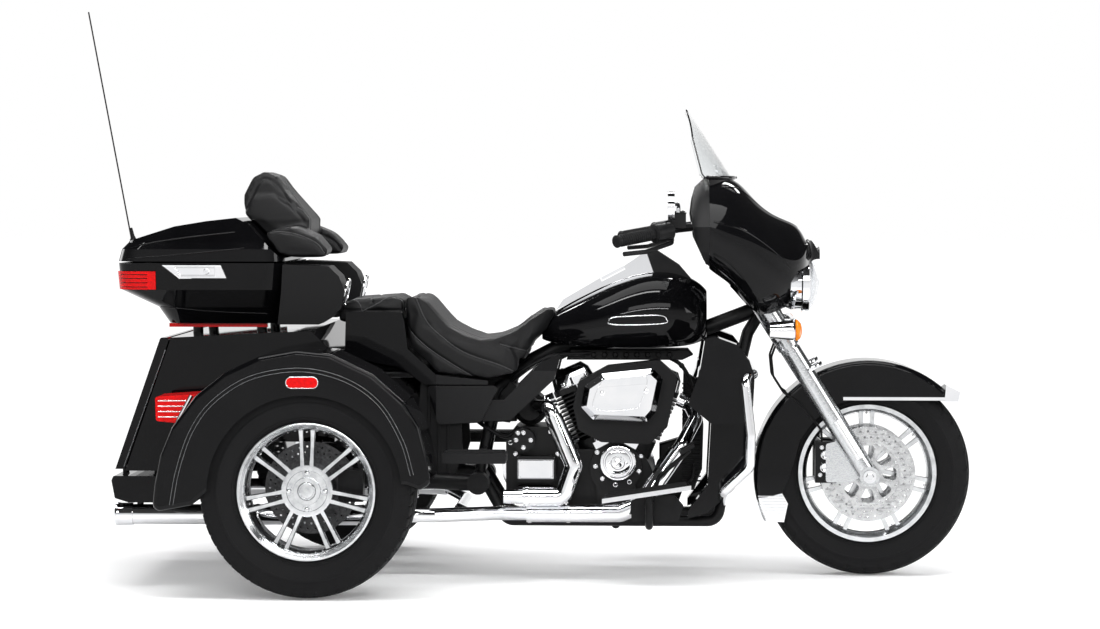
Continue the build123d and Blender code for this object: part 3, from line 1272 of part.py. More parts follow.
BOX_FLOOR_Z = 800
BOX_STAND_X = (-400, -200)
BOX_STAND_Y = 150
with BuildPart() as trunk:
    prism(side(0), trunk_outline(0), TRUNK_HALF_WIDTH, both=True)
    for x in BOX_STAND_X:
        for _, sign in SIDES:
            rod(
                (x, sign * BOX_STAND_Y, trunk_top_z(x) - 4), (x, sign * BOX_STAND_Y, BOX_FLOOR_Z - SEAT_GAP), 16,
            )
    prism(side(0), trunk_outline(TRUNK_WALL), TRUNK_HALF_WIDTH - TRUNK_WALL, Mode.SUBTRACT, both=True)

# Pin hinges: lugs that carry a pin, and a knuckle that turns on it
LUG_RADIUS = 7
LUG_WIDTH = 8
KNUCKLE_WIDTH = 26
KNUCKLE_GAP = 1
PIN_HALF = KNUCKLE_WIDTH / 2 + KNUCKLE_GAP + LUG_WIDTH
DOOR_HINGE_Z = 354
DOOR_HINGE_X = door_x(DOOR_HINGE_Z) + 5
DOOR_HINGE_Y = 260
DOOR_LOW_Z = DOOR_HINGE_Z + LUG_RADIUS + 4
FASCIA_TOP_Z = DOOR_HINGE_Z - LUG_RADIUS - 3
with BuildPart() as trunk_door:
    prism(
        side(0),
        [
            (door_x(TRUNK_TOP_REAR_Z), TRUNK_TOP_REAR_Z), (door_x(TRUNK_TOP_REAR_Z, DOOR_THICKNESS), TRUNK_TOP_REAR_Z),
            (door_x(DOOR_LOW_Z, DOOR_THICKNESS), DOOR_LOW_Z), (door_x(DOOR_LOW_Z), DOOR_LOW_Z),
        ],
        TRUNK_HALF_WIDTH - 2, both=True,
    )
    fillet(trunk_door.edges().filter_by(Axis.Y).sort_by(Axis.Z)[-2:], radius=8)
    for _, sign in SIDES:
        y = sign * DOOR_HINGE_Y
        start = (DOOR_HINGE_X, y - KNUCKLE_WIDTH / 2, DOOR_HINGE_Z)
        end = (DOOR_HINGE_X, y + KNUCKLE_WIDTH / 2, DOOR_HINGE_Z)
        rod(start, end, LUG_RADIUS)
        with Locations((DOOR_HINGE_X, y, (DOOR_HINGE_Z + DOOR_LOW_Z) / 2)):
            Box(8, KNUCKLE_WIDTH, DOOR_LOW_Z - DOOR_HINGE_Z + 1)
        rod(start, end, HINGE_PIN_RADIUS + PIN_GAP, Mode.SUBTRACT)

FASCIA = [
    (-300, FASCIA_TOP_Z), (-616, FASCIA_TOP_Z), (-622, 330), (-612, 276), (-570, 263), (-420, 263), (-300, 300),
]
HANGER_X = (-540, -450)
HANGER_RADIUS = 10
with BuildPart() as rear_fascia:
    prism(side(0), FASCIA, TRUNK_HALF_WIDTH, both=True, radius=6)
    for _, sign in SIDES:
        y = sign * DOOR_HINGE_Y
        rod((DOOR_HINGE_X, y - PIN_HALF, DOOR_HINGE_Z), (DOOR_HINGE_X, y + PIN_HALF, DOOR_HINGE_Z), HINGE_PIN_RADIUS)
        for end in (-1, 1):
            middle = y + end * (PIN_HALF - LUG_WIDTH / 2)
            rod(
                (DOOR_HINGE_X, middle - LUG_WIDTH / 2, DOOR_HINGE_Z),
                (DOOR_HINGE_X, middle + LUG_WIDTH / 2, DOOR_HINGE_Z), LUG_RADIUS,
            )
            with Locations((DOOR_HINGE_X, middle, (DOOR_HINGE_Z + FASCIA_TOP_Z) / 2)):
                Box(12, LUG_WIDTH, DOOR_HINGE_Z - FASCIA_TOP_Z + 2)
        for x in HANGER_X:
            muffler_y = sign * MUFFLER_Y
            rod((x, muffler_y, 290), (x, muffler_y, MUFFLER_Z + MUFFLER_RADIUS + SEAT_GAP), HANGER_RADIUS)

FENDER_OUTLINE = [
    (-452, 262), (-444, 340), (-426, 430), (-391, 515), (-322, 606), (-236, 675), (-135, 722), (-22, 742),
    (77, 732), (202, 672), (294, 591), (340, 517), (361, 430), (372, 350), (340, 330), (300, 345), (-262, 345),
    (-330, 285),
]
FENDER_CORNER = 22
FENDER_CROWN = 14
FENDER_INNER_Y = TRUNK_HALF_WIDTH + SEAT_GAP
FENDER_OUTER_Y = BODY_WIDTH / 2
MARKER_X = -5
MARKER_Z = 647.5
MARKER_LENGTH = 94
MARKER_HEIGHT = 33
MARKER_DEPTH = 4.5


def fender_shell(sign):
    """Rear fender: an arch with a flat outer face, a round crown and the wheel opening."""
    depth = FENDER_OUTER_Y - FENDER_INNER_Y
    room = depth - FENDER_WALL + 5
    start = side(sign * (FENDER_INNER_Y - 5))
    with BuildPart() as shell:
        prism(side(sign * FENDER_INNER_Y), FENDER_OUTLINE, -sign * depth, radius=FENDER_CORNER)
        outer_face = shell.faces().sort_by(Axis.Y)[-1 if sign > 0 else 0]
        fillet(outer_face.edges(), radius=FENDER_CROWN)
        with BuildSketch(start, mode=Mode.PRIVATE) as face:
            soft_outline(FENDER_OUTLINE, FENDER_CORNER)
            offset(amount=-FENDER_WALL, mode=Mode.REPLACE)
        extrude(face.sketch, amount=-sign * room, mode=Mode.SUBTRACT)
        with BuildSketch(start, mode=Mode.PRIVATE) as opening:
            with Locations((0, REAR_AXLE_Z)):
                Circle(WHEEL_OPENING_RADIUS)
            with Locations((0, 200)):
                Rectangle(2 * WHEEL_OPENING_RADIUS, 240)
        extrude(opening.sketch, amount=-sign * (depth + 20), mode=Mode.SUBTRACT)
        with BuildSketch(start, mode=Mode.PRIVATE) as well:
            with Locations((0, REAR_AXLE_Z)):
                Circle(REAR_TYRE_DIAMETER / 2 + WHEEL_CLEARANCE)
            with Locations((0, REAR_AXLE_Z - 100)):
                Rectangle(REAR_TYRE_DIAMETER + 2 * WHEEL_CLEARANCE, 200)
        extrude(well.sketch, amount=-sign * room, mode=Mode.SUBTRACT)
        with BuildSketch(side(sign * FENDER_OUTER_Y), mode=Mode.PRIVATE) as pocket:
            with Locations((MARKER_X, MARKER_Z)):
                RectangleRounded(
                    MARKER_LENGTH + 2 * SEAT_GAP, MARKER_HEIGHT + 2 * SEAT_GAP, MARKER_HEIGHT / 2 - 0.5,
                )
        extrude(pocket.sketch, amount=sign * MARKER_DEPTH, mode=Mode.SUBTRACT)
    return shell.part


rear_fenders = {name: fender_shell(sign) for name, sign in SIDES}

TAIL_LAMP = [(-450, 600), (-300, 610), (-360, 520), (-448, 528)]
TAIL_LAMP_Y = 500
TAIL_LAMP_WIDTH = 130
with BuildPart() as fender_lamps:
    for _, sign in SIDES:
        with BuildSketch(side(sign * TAIL_LAMP_Y), mode=Mode.PRIVATE) as lamp:
            soft_outline(TAIL_LAMP, 8)
        extrude(lamp.sketch, amount=-sign * TAIL_LAMP_WIDTH)
        with BuildSketch(side(sign * (TAIL_LAMP_Y - 5)), mode=Mode.PRIVATE) as fender_face:
            soft_outline(FENDER_OUTLINE, FENDER_CORNER)
            offset(amount=SEAT_GAP, mode=Mode.REPLACE)
        extrude(fender_face.sketch, amount=-sign * (TAIL_LAMP_WIDTH + 10), mode=Mode.SUBTRACT)
        with BuildSketch(side(sign * (FENDER_OUTER_Y - MARKER_DEPTH + SEAT_GAP)), mode=Mode.PRIVATE) as marker:
            with Locations((MARKER_X, MARKER_Z)):
                RectangleRounded(MARKER_LENGTH, MARKER_HEIGHT, MARKER_HEIGHT / 2 - 0.5)
        extrude(marker.sketch, amount=-sign * (MARKER_DEPTH + 3))

# Tour box on the trunk: hollow box, lid, backrest, speaker pods


def box_section(z, rear, front, half, inset=0, corner=60):
    with BuildSketch(level(z), mode=Mode.PRIVATE) as section:
        with Locations(((rear + front) / 2, 0)):
            RectangleRounded(front - rear - 2 * inset, 2 * (half - inset), corner - inset)
    return section.sketch


LID_HINGE_X = (-460, -240)
BOX_STATIONS = [
    # z, rear x, front x, half width
    (BOX_FLOOR_Z, -482, -128, 238),
    (850, -512, -122, 264),
    (905, -622, -116, 300),
    (BOX_SEAM_Z - SEAM / 2, -628, -112, BOX_HALF_WIDTH),
]
LID_STATIONS = [
    (BOX_SEAM_Z + SEAM / 2, -628, -112, BOX_HALF_WIDTH + 2),
    (1030, -618, -116, BOX_HALF_WIDTH),
    (1050, -600, -120, BOX_HALF_WIDTH - 12),
    (1130, -570, -130, BOX_HALF_WIDTH - 40),
]


def box_row(z):
    """Rear x, front x and half width of the tour box at a height between its upper two stations."""
    low, high = BOX_STATIONS[-2:]
    share = (z - low[0]) / (high[0] - low[0])
    return (z, *(a + (b - a) * share for a, b in zip(low[1:], high[1:])))


with BuildPart() as tour_box:
    loft([box_section(*row) for row in BOX_STATIONS], ruled=True)
    inner_rows = [(BOX_STATIONS[0][0] + BOX_WALL, *BOX_STATIONS[0][1:])] + BOX_STATIONS[1:]
    loft([box_section(*row, inset=BOX_WALL) for row in inner_rows], ruled=True, mode=Mode.SUBTRACT)
    for x in LID_HINGE_X:
        rod((x - PIN_HALF, HINGE_Y, BOX_SEAM_Z), (x + PIN_HALF, HINGE_Y, BOX_SEAM_Z), HINGE_PIN_RADIUS)
        for end in (-1, 1):
            middle = x + end * (PIN_HALF - LUG_WIDTH / 2)
            rod(
                (middle - LUG_WIDTH / 2, HINGE_Y, BOX_SEAM_Z), (middle + LUG_WIDTH / 2, HINGE_Y, BOX_SEAM_Z),
                LUG_RADIUS,
            )
            prism(
                across(middle - LUG_WIDTH / 2),
                [
                    (BOX_HALF_WIDTH - 3, BOX_SEAM_Z - 20), (BOX_HALF_WIDTH - 3, BOX_SEAM_Z - SEAM / 2),
                    (HINGE_Y, BOX_SEAM_Z - SEAM / 2), (HINGE_Y, BOX_SEAM_Z - LUG_RADIUS + 0.5),
                ],
                LUG_WIDTH,
            )

LID_SIDE = [
    (-640, 985), (-640, 1030), (-600, 1052), (-450, 1100), (-353, 1116), (-262, 1126), (-225, 1108), (-130, 1010),
    (-100, 1006), (-100, 985),
]
LID_REACH = BOX_HALF_WIDTH + 20
with BuildPart() as lid_space:
    loft([box_section(*row, inset=BOX_WALL) for row in LID_STATIONS], ruled=True)
    prism(side(0), [(x, z - BOX_WALL) for x, z in LID_SIDE], LID_REACH, Mode.INTERSECT, both=True)

with BuildPart() as tour_lid:
    loft([box_section(*row) for row in LID_STATIONS], ruled=True)
    prism(side(0), LID_SIDE, LID_REACH, Mode.INTERSECT, both=True)
    add(lid_space.part, mode=Mode.SUBTRACT)
    for x in LID_HINGE_X:
        start = (x - KNUCKLE_WIDTH / 2, HINGE_Y, BOX_SEAM_Z)
        end = (x + KNUCKLE_WIDTH / 2, HINGE_Y, BOX_SEAM_Z)
        rod(start, end, LUG_RADIUS)
        prism(
            across(x - KNUCKLE_WIDTH / 2),
            [
                (BOX_HALF_WIDTH - 2, BOX_SEAM_Z + 22), (BOX_HALF_WIDTH - 2, BOX_SEAM_Z + SEAM / 2),
                (HINGE_Y, BOX_SEAM_Z + SEAM / 2), (HINGE_Y, BOX_SEAM_Z + LUG_RADIUS - 0.5),
            ],
            KNUCKLE_WIDTH,
        )
        rod(start, end, HINGE_PIN_RADIUS + PIN_GAP, Mode.SUBTRACT)

BACKREST = [
    (-262, 1140), (-268, 1200), (-240, 1258), (-200, 1280), (-160, 1262), (-115, 1200), (-50, 1120),
    (-50, 1016), (-96, 1012), (-134, 1012),
]
BACKREST_ARM = [(-128, 1014), (-170, 1070), (-164, 1090), (-80, 1100), (-8, 1072), (32, 1030), (24, 1004), (-90, 1004)]
BACKREST_HALF = 150
BACKREST_TOP_HALF = 90
ARM_CENTRE_Y = 225
ARM_HALF = 80
with BuildPart() as backrest:
    prism(side(0), BACKREST, BACKREST_HALF, both=True, radius=10)
    prism(
        across(-300),
        [
            (-BACKREST_HALF, 1000), (BACKREST_HALF, 1000), (BACKREST_HALF, 1120), (BACKREST_TOP_HALF, 1290),
            (-BACKREST_TOP_HALF, 1290), (-BACKREST_HALF, 1120),
        ],
        300, Mode.INTERSECT, radius=30,
    )
    for _, sign in SIDES:
        prism(side(sign * ARM_CENTRE_Y), BACKREST_ARM, ARM_HALF, both=True, radius=12)
    prism(
        side(0), [(x + SEAT_GAP * 0.7, z + SEAT_GAP * 0.8) for x, z in LID_SIDE], LID_REACH, Mode.SUBTRACT, both=True,
    )

POD_CENTRE_Y = 250
POD_HALF = 70
box_front = [(row[2] + SEAT_GAP, row[0]) for row in BOX_STATIONS]
POD = [box_front[0], box_front[1], box_front[2], (box_front[3][0], 984)] + [
    (30, 978), (61, 948), (79, 905), (67, 849), (30, 819), (-1, BOX_FLOOR_Z),
]
with BuildPart() as speaker_pods:
    for _, sign in SIDES:
        prism(side(sign * POD_CENTRE_Y), POD, POD_HALF, both=True, radius=3)

with BuildPart() as antenna:
    rod(ANTENNA_FOOT, ANTENNA_BEND, 6)
    rod(ANTENNA_BEND, ANTENNA_TIP, ANTENNA_RADIUS)
    rod((-629, 220, 975), (-668, 220, 979), 9)

# Lamps on the tour box: a lens round each rear corner and a strip under each side
LENS_LOW_Z = 906
LENS_HIGH_Z = 962
LENS_THICKNESS = 6
LENS_INNER_Y = 150
LENS_FRONT_X = -505
STRIP_REAR_X = -478
STRIP_FRONT_X = -172
LIGHT_STRIP_Y = 218
with BuildPart() as tail_lamps:
    loft([box_section(*box_row(z), inset=-LENS_THICKNESS) for z in (LENS_LOW_Z, LENS_HIGH_Z)], ruled=True)
    loft(
        [box_section(*box_row(z), inset=-SEAT_GAP) for z in (LENS_LOW_Z - 1, LENS_HIGH_Z + 1)], ruled=True,
        mode=Mode.SUBTRACT,
    )
    prism(
        level(800), [(LENS_FRONT_X, -400), (0, -400), (0, 400), (LENS_FRONT_X, 400)], 200, Mode.SUBTRACT,
    )
    prism(
        level(800), [(-700, -LENS_INNER_Y), (0, -LENS_INNER_Y), (0, LENS_INNER_Y), (-700, LENS_INNER_Y)], 200,
        Mode.SUBTRACT,
    )
    for _, sign in SIDES:
        with Locations(((STRIP_REAR_X + STRIP_FRONT_X) / 2, sign * LIGHT_STRIP_Y, BOX_FLOOR_Z - SEAT_GAP - 6)):
            Box(STRIP_FRONT_X - STRIP_REAR_X, 12, 12)

# Running gear round the rider

BOARD_INNER_Y = 268
BOARD_OUTER_Y = 392
REAR_BOARD_OUTER_Y = 418
REAR_BOARD = [(384, 384), (578, 384), (578, 416), (384, 416)]
with BuildPart() as footboards:
    for _, sign in SIDES:
        prism(
            side(sign * BOARD_INNER_Y),
            [
                BOARD_REAR, BOARD_FRONT, (BOARD_FRONT[0], BOARD_FRONT[1] + BOARD_THICKNESS),
                (BOARD_REAR[0], BOARD_REAR[1] + BOARD_THICKNESS),
            ],
            -sign * (BOARD_OUTER_Y - BOARD_INNER_Y),
        )
        prism(
            side(sign * REAR_BOARD_INNER_Y), REAR_BOARD, -sign * (REAR_BOARD_OUTER_Y - REAR_BOARD_INNER_Y), radius=6,
        )

# Brake pedal on the right and shift lever on the left, each on a plate over the board's bracket
PLATE_LOW_Z = RAIL_Z + BOARD_BRACKET_RADIUS + SEAT_GAP
CONTROL_PLATE = [
    (956, PLATE_LOW_Z), (952, 250), (980, 270), (1090, 270), (1116, 240), (1100, PLATE_LOW_Z),
]
PLATE_Y = 232
PLATE_THICKNESS = 10
PEDAL_Y = 254
PEDAL_PIVOT = (1012, 245)
PEDAL_ARM = [(1012, 245), (1040, 331), (1134, 412)]
PEDAL_PAD = [(1107, 404), (1150, 430), (1144, 440), (1101, 414)]
with BuildPart() as foot_controls:
    for name, sign in SIDES:
        prism(side(sign * PLATE_Y), CONTROL_PLATE, -sign * PLATE_THICKNESS, radius=6)
        x, z = PEDAL_PIVOT
        rod((x, sign * (PLATE_Y + 2), z), (x, sign * (PEDAL_Y + 7), z), 12)
        bent_tube([(x, sign * PEDAL_Y, z) for x, z in PEDAL_ARM], 7, 24)
        if name == "right":
            prism(side(sign * (PEDAL_Y - 6)), PEDAL_PAD, -sign * 84, radius=3)
        else:
            x, z = PEDAL_ARM[-1]
            rod((x, sign * (PEDAL_Y - 6), z), (x, sign * (PEDAL_Y + 70), z), 11)

GUARD_RADIUS = 15
GUARD_Z = 650
GUARD_BEND = 30
top, foot = at_front([DOWN_TUBE_TOP, DOWN_TUBE_FOOT])
down_tube_x = foot[0] + (GUARD_Z - foot[2]) / (top[2] - foot[2]) * (top[0] - foot[0])
GUARD_X = down_tube_x + RAIL_RADIUS + GUARD_RADIUS + 2 * SEAT_GAP
GUARD_HALF = [
    (GUARD_X, 300, GUARD_Z), *at_front([(-393, 352, 640), (-375, 366, 470), (-377, 362, 372), (-455, 300, 290)]),
    (WHEELBASE - 455, RAIL_HALF_SPACING + RAIL_RADIUS - 1, 244),
]
GUARD = mirrored(GUARD_HALF[::-1], -1) + GUARD_HALF
with BuildPart() as engine_guard:
    bent_tube(GUARD, GUARD_RADIUS, GUARD_BEND)

# Lower fairings on the guard: a pod above, a vane below it and a leg down to the rail
POD_SHIELD = [(-529, 660), (-513, 760), (-483, 766), (-415, 741), (-379, 695), (-364, 650), (-364, 600), (-529, 600)]
VANE = [
    (-535, 640), (-531, 668), (-366, 668), (-363, 634), (-367, 555), (-393, 500), (-493, 500), (-565, 560),
]
SHIELD_LEG = [
    (-493, 500), (-393, 500), (-377, 440), (-381, 340), (-423, 286), (-503, 214), (-563, 196), (-563, 220),
    (-503, 300),
]
SHIELD_OUTER_Y = 337
POD_INNER_Y = 236
VANE_INNER_Y = 165
LEG_INNER_Y = 153
LEG_OUTER_Y = 207
with BuildPart() as leg_shields:
    for _, sign in SIDES:
        prism(side(sign * POD_INNER_Y), front_outline(POD_SHIELD), -sign * (SHIELD_OUTER_Y - POD_INNER_Y), radius=10)
        prism(side(sign * VANE_INNER_Y), front_outline(VANE), -sign * (SHIELD_OUTER_Y - VANE_INNER_Y), radius=8)
        prism(side(sign * LEG_INNER_Y), front_outline(SHIELD_LEG), -sign * (LEG_OUTER_Y - LEG_INNER_Y))
    bent_tube(GUARD, GUARD_RADIUS + SEAT_GAP, GUARD_BEND, Mode.SUBTRACT)

PIECES = {
    "frame": frame.part,
    "crankcase": crankcase.part,
    "cylinders": cylinders.part,
    "rocker_boxes": rocker_boxes.part,
    "pushrod_tubes": pushrod_tubes.part,
    "cam_cover": cam_cover.part,
    "air_cleaner_back": air_cleaner_back.part,
    "air_cleaner": air_cleaner.part,
    "transmission": transmission.part,
    "primary_cover": primary_cover.part,
    "header_pipes": header_pipes.part,
    "mufflers": mufflers.part,
    "fuel_tank": fuel_tank.part,
    "tank_console": tank_console.part,
    "fuel_door": fuel_door.part,
    "rider_seat": rider_seat.part,
    "passenger_seat": passenger_seat.part,
    "body_panels": body_panels.part,
    "trunk": trunk.part,
    "trunk_door": trunk_door.part,
    "rear_fascia": rear_fascia.part,
    "rear_fender_right": rear_fenders["right"],
    "rear_fender_left": rear_fenders["left"],
    "fender_lamps": fender_lamps.part,
    "tour_box": tour_box.part,
    "tour_lid": tour_lid.part,
    "backrest": backrest.part,
    "speaker_pods": speaker_pods.part,
    "antenna": antenna.part,
    "tail_lamps": tail_lamps.part,
    "footboards": footboards.part,
    "foot_controls": foot_controls.part,
    "engine_guard": engine_guard.part,
    "leg_shields": leg_shields.part,
    "rear_axle": rear_axle.part,
    "rear_calipers": rear_calipers.part,
    "rear_tyre_right": rear_tyres["right"],
    "rear_tyre_left": rear_tyres["left"],
    "rear_rim_right": rear_rims["right"],
    "rear_rim_left": rear_rims["left"],
    "rear_disc_right": rear_discs["right"],
    "rear_disc_left": rear_discs["left"],
    "front_tyre": front_tyre.part,
    "front_rim": front_rim.part,
    "front_discs": front_discs.part,
    "fork": fork.part,
    "front_axle": front_axle.part,
    "front_calipers": front_calipers.part,
    "brake_lines": brake_lines.part,
    "front_fender": front_fender.part,
    "front_trim": front_trim.part,
    "handlebar": handlebar.part,
    "hand_controls": hand_controls.part,
    "mirrors": mirrors.part,
    "fairing": fairing.part,
    "fairing_inner": fairing_inner.part,
    "windscreen": windscreen.part,
    "headlamp": headlamp.part,
    "front_lamps": front_lamps.part,
}
for piece_name, piece in PIECES.items():
    write(piece, piece_name)
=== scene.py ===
import json
import math
import bmesh
import bpy
from mathutils import Matrix, Vector
from mathutils.bvhtree import BVHTree


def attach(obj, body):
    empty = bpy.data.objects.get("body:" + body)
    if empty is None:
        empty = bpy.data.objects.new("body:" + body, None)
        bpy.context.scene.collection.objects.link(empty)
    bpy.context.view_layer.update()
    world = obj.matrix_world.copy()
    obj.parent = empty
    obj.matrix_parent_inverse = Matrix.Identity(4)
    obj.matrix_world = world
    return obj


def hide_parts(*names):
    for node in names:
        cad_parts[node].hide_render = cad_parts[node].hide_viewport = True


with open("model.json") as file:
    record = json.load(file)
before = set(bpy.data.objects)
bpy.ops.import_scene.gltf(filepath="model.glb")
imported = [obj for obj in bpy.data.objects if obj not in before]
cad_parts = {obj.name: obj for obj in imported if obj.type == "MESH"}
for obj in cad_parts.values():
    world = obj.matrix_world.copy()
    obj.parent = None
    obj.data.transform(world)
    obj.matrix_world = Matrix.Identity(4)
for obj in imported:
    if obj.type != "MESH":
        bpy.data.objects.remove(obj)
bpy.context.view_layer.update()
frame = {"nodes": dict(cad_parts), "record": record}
RECORD = frame["record"]
NODES = frame["nodes"]

# Places below are in millimetres: X forward from the rear axle, Y to the left, Z up from the floor
MIDDLE_X = 599.5
WHEELBASE = 1693.0
FRONT_AXLE_Z = 323.0
REAR_AXLE_Z = 321.0
RIGHT = -1


def at(x, y, z):
    """A place in millimetres as a vector of the frame, in metres."""
    return Vector(((x - MIDDLE_X) / 1000, y / 1000, z / 1000))


# Materials: every one is worked out from object coordinates, in metres

def new_material(name):
    material = bpy.data.materials.new(name)
    material.use_nodes = True
    tree = material.node_tree
    shader = tree.nodes["Principled BSDF"]
    return material, tree, shader


def add_node(tree, kind, **values):
    """A node with its sockets or properties set by name."""
    made = tree.nodes.new(kind)
    for key, value in values.items():
        if key in made.inputs:
            made.inputs[key].default_value = value
        else:
            setattr(made, key, value)
    return made


def math_node(tree, operation, first, second=0.0, clamp=False):
    """A calculation on two values, each a socket or a number."""
    made = add_node(tree, "ShaderNodeMath", operation=operation, use_clamp=clamp)
    for socket, value in zip(made.inputs, (first, second)):
        if isinstance(value, (int, float)):
            socket.default_value = value
        else:
            tree.links.new(value, socket)
    return made.outputs[0]


def object_noise(tree, scale, detail=3.0, stretch=(1, 1, 1)):
    """Noise over the object's own coordinates."""
    coordinates = tree.nodes.new("ShaderNodeTexCoord")
    mapping = tree.nodes.new("ShaderNodeMapping")
    mapping.inputs["Scale"].default_value = stretch
    noise = add_node(tree, "ShaderNodeTexNoise", Scale=scale, Detail=detail)
    tree.links.new(coordinates.outputs["Object"], mapping.inputs["Vector"])
    tree.links.new(mapping.outputs["Vector"], noise.inputs["Vector"])
    return noise


def object_axes(tree, output="Object"):
    """The three parts of the object coordinate, or of the object's own normal."""
    coordinates = tree.nodes.new("ShaderNodeTexCoord")
    split = tree.nodes.new("ShaderNodeSeparateXYZ")
    tree.links.new(coordinates.outputs[output], split.inputs[0])
    return split.outputs


def map_range(tree, source, low, high, from_low=0.3, from_high=0.7):
    ranged = tree.nodes.new("ShaderNodeMapRange")
    ranged.inputs["From Min"].default_value = from_low
    ranged.inputs["From Max"].default_value = from_high
    ranged.inputs["To Min"].default_value = low
    ranged.inputs["To Max"].default_value = high
    tree.links.new(source, ranged.inputs["Value"])
    return ranged.outputs["Result"]


def add_bump(tree, shader, height, strength, distance):
    bump = tree.nodes.new("ShaderNodeBump")
    bump.inputs["Strength"].default_value = strength
    bump.inputs["Distance"].default_value = distance
    tree.links.new(height, bump.inputs["Height"])
    tree.links.new(bump.outputs["Normal"], shader.inputs["Normal"])
    return bump


def colour_mix(tree, source, low, high):
    """A colour between two, each a socket or three numbers."""
    mix = tree.nodes.new("ShaderNodeMix")
    mix.data_type = "RGBA"
    for key, value in (("A", low), ("B", high)):
        if isinstance(value, tuple):
            mix.inputs[key].default_value = (*value, 1)
        else:
            tree.links.new(value, mix.inputs[key])
    tree.links.new(source, mix.inputs["Factor"])
    return mix.outputs["Result"]


def surface(name, low, high, metallic, rough, noise_scale, bump=0.0, bump_distance=0.0002, detail=3.0,
            stretch=(1, 1, 1), coat=0.0, specular=0.5):
    """A finish whose colour and roughness drift a little over the surface."""
    material, tree, shader = new_material(name)
    shader.inputs["Metallic"].default_value = metallic
    shader.inputs["Coat Weight"].default_value = coat
    shader.inputs["Specular IOR Level"].default_value = specular
    noise = object_noise(tree, noise_scale, detail, stretch)
    factor = map_range(tree, noise.outputs["Fac"], 0, 1)
    tree.links.new(colour_mix(tree, factor, low, high), shader.inputs["Base Color"])
    tree.links.new(map_range(tree, noise.outputs["Fac"], rough[0], rough[1]), shader.inputs["Roughness"])
    if bump:
        add_bump(tree, shader, noise.outputs["Fac"], bump, bump_distance)
    return material


BLACK_PAINT = surface("black_paint", (0.0022, 0.0022, 0.0026), (0.0034, 0.0034, 0.0038), 0, (0.03, 0.06), 9,
                      specular=0.16)
SATIN_BLACK = surface("satin_black", (0.003, 0.003, 0.0033), (0.006, 0.006, 0.0065), 0, (0.34, 0.46), 60,
    0.08,
                      specular=0.16)
CHROME = surface("chrome", (0.72, 0.73, 0.75), (0.80, 0.80, 0.81), 1, (0.04, 0.08), 12)
BLACK_ENGINE = surface("black_engine", (0.003, 0.003, 0.0033), (0.007, 0.007, 0.0075), 0, (0.32, 0.44), 900,
    0.25,
                       specular=0.2)
BLACK_PLASTIC = surface("black_plastic", (0.0035, 0.0035, 0.0038), (0.007, 0.007, 0.0075), 0, (0.42, 0.55),
    700, 0.2,
                        specular=0.16)
VINYL = surface("vinyl", (0.003, 0.003, 0.0033), (0.007, 0.007, 0.0075), 0, (0.40, 0.52), 420, 0.55, 0.0006,
    6,
                specular=0.2)
RUBBER = surface("rubber", (0.004, 0.004, 0.0043), (0.008, 0.008, 0.0085), 0, (0.60, 0.76), 320, 0.35,
    0.0004,
                 specular=0.14)
ALUMINIUM = surface("aluminium", (0.46, 0.47, 0.48), (0.60, 0.61, 0.62), 1, (0.20, 0.30), 160, 0.05,
                    stretch=(1, 1, 6))
STEEL = surface("steel", (0.34, 0.35, 0.36), (0.48, 0.49, 0.50), 1, (0.24, 0.36), 220, 0.06)
RED_LENS = surface(
    "red_lens", (0.52, 0.0, 0.0006), (0.74, 0.0005, 0.001), 0, (0.06, 0.12), 120, specular=0.18
)
AMBER_LENS = surface(
    "amber_lens", (0.74, 0.17, 0.002), (0.88, 0.26, 0.004), 0, (0.08, 0.14), 160, specular=0.25
)
CLEAR_LENS = surface("clear_lens", (0.55, 0.57, 0.60), (0.74, 0.76, 0.78), 0.6, (0.05, 0.10), 240, 0.2,
    0.0008,
                     coat=1.0)
# Near-black matte: the real black of dial faces, grille rings, vents and lamp bands, and also painted shade
# laid as dark strips in grooves, slots and seams
MATTE_BLACK_AND_GAP_SHADE = surface(
    "matte_black_and_gap_shade", (0.0015, 0.0015, 0.0016), (0.003, 0.003, 0.0032), 0, (0.75, 0.9), 80, specular=0.1
)
PINSTRIPE = surface("pinstripe", (0.075, 0.078, 0.082), (0.12, 0.122, 0.126), 0, (0.2, 0.3), 90)


def screen_material():
    material, tree, shader = new_material("clear_screen")
    shader.inputs["Transmission Weight"].default_value = 1.0
    shader.inputs["IOR"].default_value = 1.45
    noise = object_noise(tree, 40)
    tree.links.new(map_range(tree, noise.outputs["Fac"], 0.0, 0.03), shader.inputs["Roughness"])
    tree.links.new(
        colour_mix(tree, noise.outputs["Fac"], (0.90, 0.92, 0.93), (0.95, 0.96, 0.96)), shader.inputs[
            "Base Color"
        ]
    )
    return material


def region_material(name, mask_maker, first, second, noise_scale=160):
    """Two finishes on one solid, each (colour low, colour high, metallic, roughness), parted by a mask."""
    material, tree, shader = new_material(name)
    mask = mask_maker(tree)
    noise = object_noise(tree, noise_scale)
    colours = []
    for low, high, _, _ in (first, second):
        colours.append(colour_mix(tree, noise.outputs["Fac"], low, high))
    tree.links.new(colour_mix(tree, mask, colours[0], colours[1]), shader.inputs["Base Color"])
    tree.links.new(map_range(tree, mask, first[2], second[2], 0, 1), shader.inputs["Metallic"])
    base_rough = map_range(tree, mask, first[3], second[3], 0, 1)
    drift = map_range(tree, noise.outputs["Fac"], -0.03, 0.03)
    tree.links.new(math_node(tree, "ADD", base_rough, drift, True), shader.inputs["Roughness"])
    shader.inputs["Specular IOR Level"].default_value = 0.16
    add_bump(tree, shader, noise.outputs["Fac"], 0.04, 0.0002)
    return material


GLOSS_FINISH = ((0.0022, 0.0022, 0.0026), (0.0034, 0.0034, 0.0038), 0.0, 0.05)
SATIN_FINISH = ((0.006, 0.006, 0.0065), (0.010, 0.010, 0.0105), 0.0, 0.42)
CHROME_FINISH = ((0.60, 0.61, 0.63), (0.68, 0.68, 0.69), 1.0, 0.08)


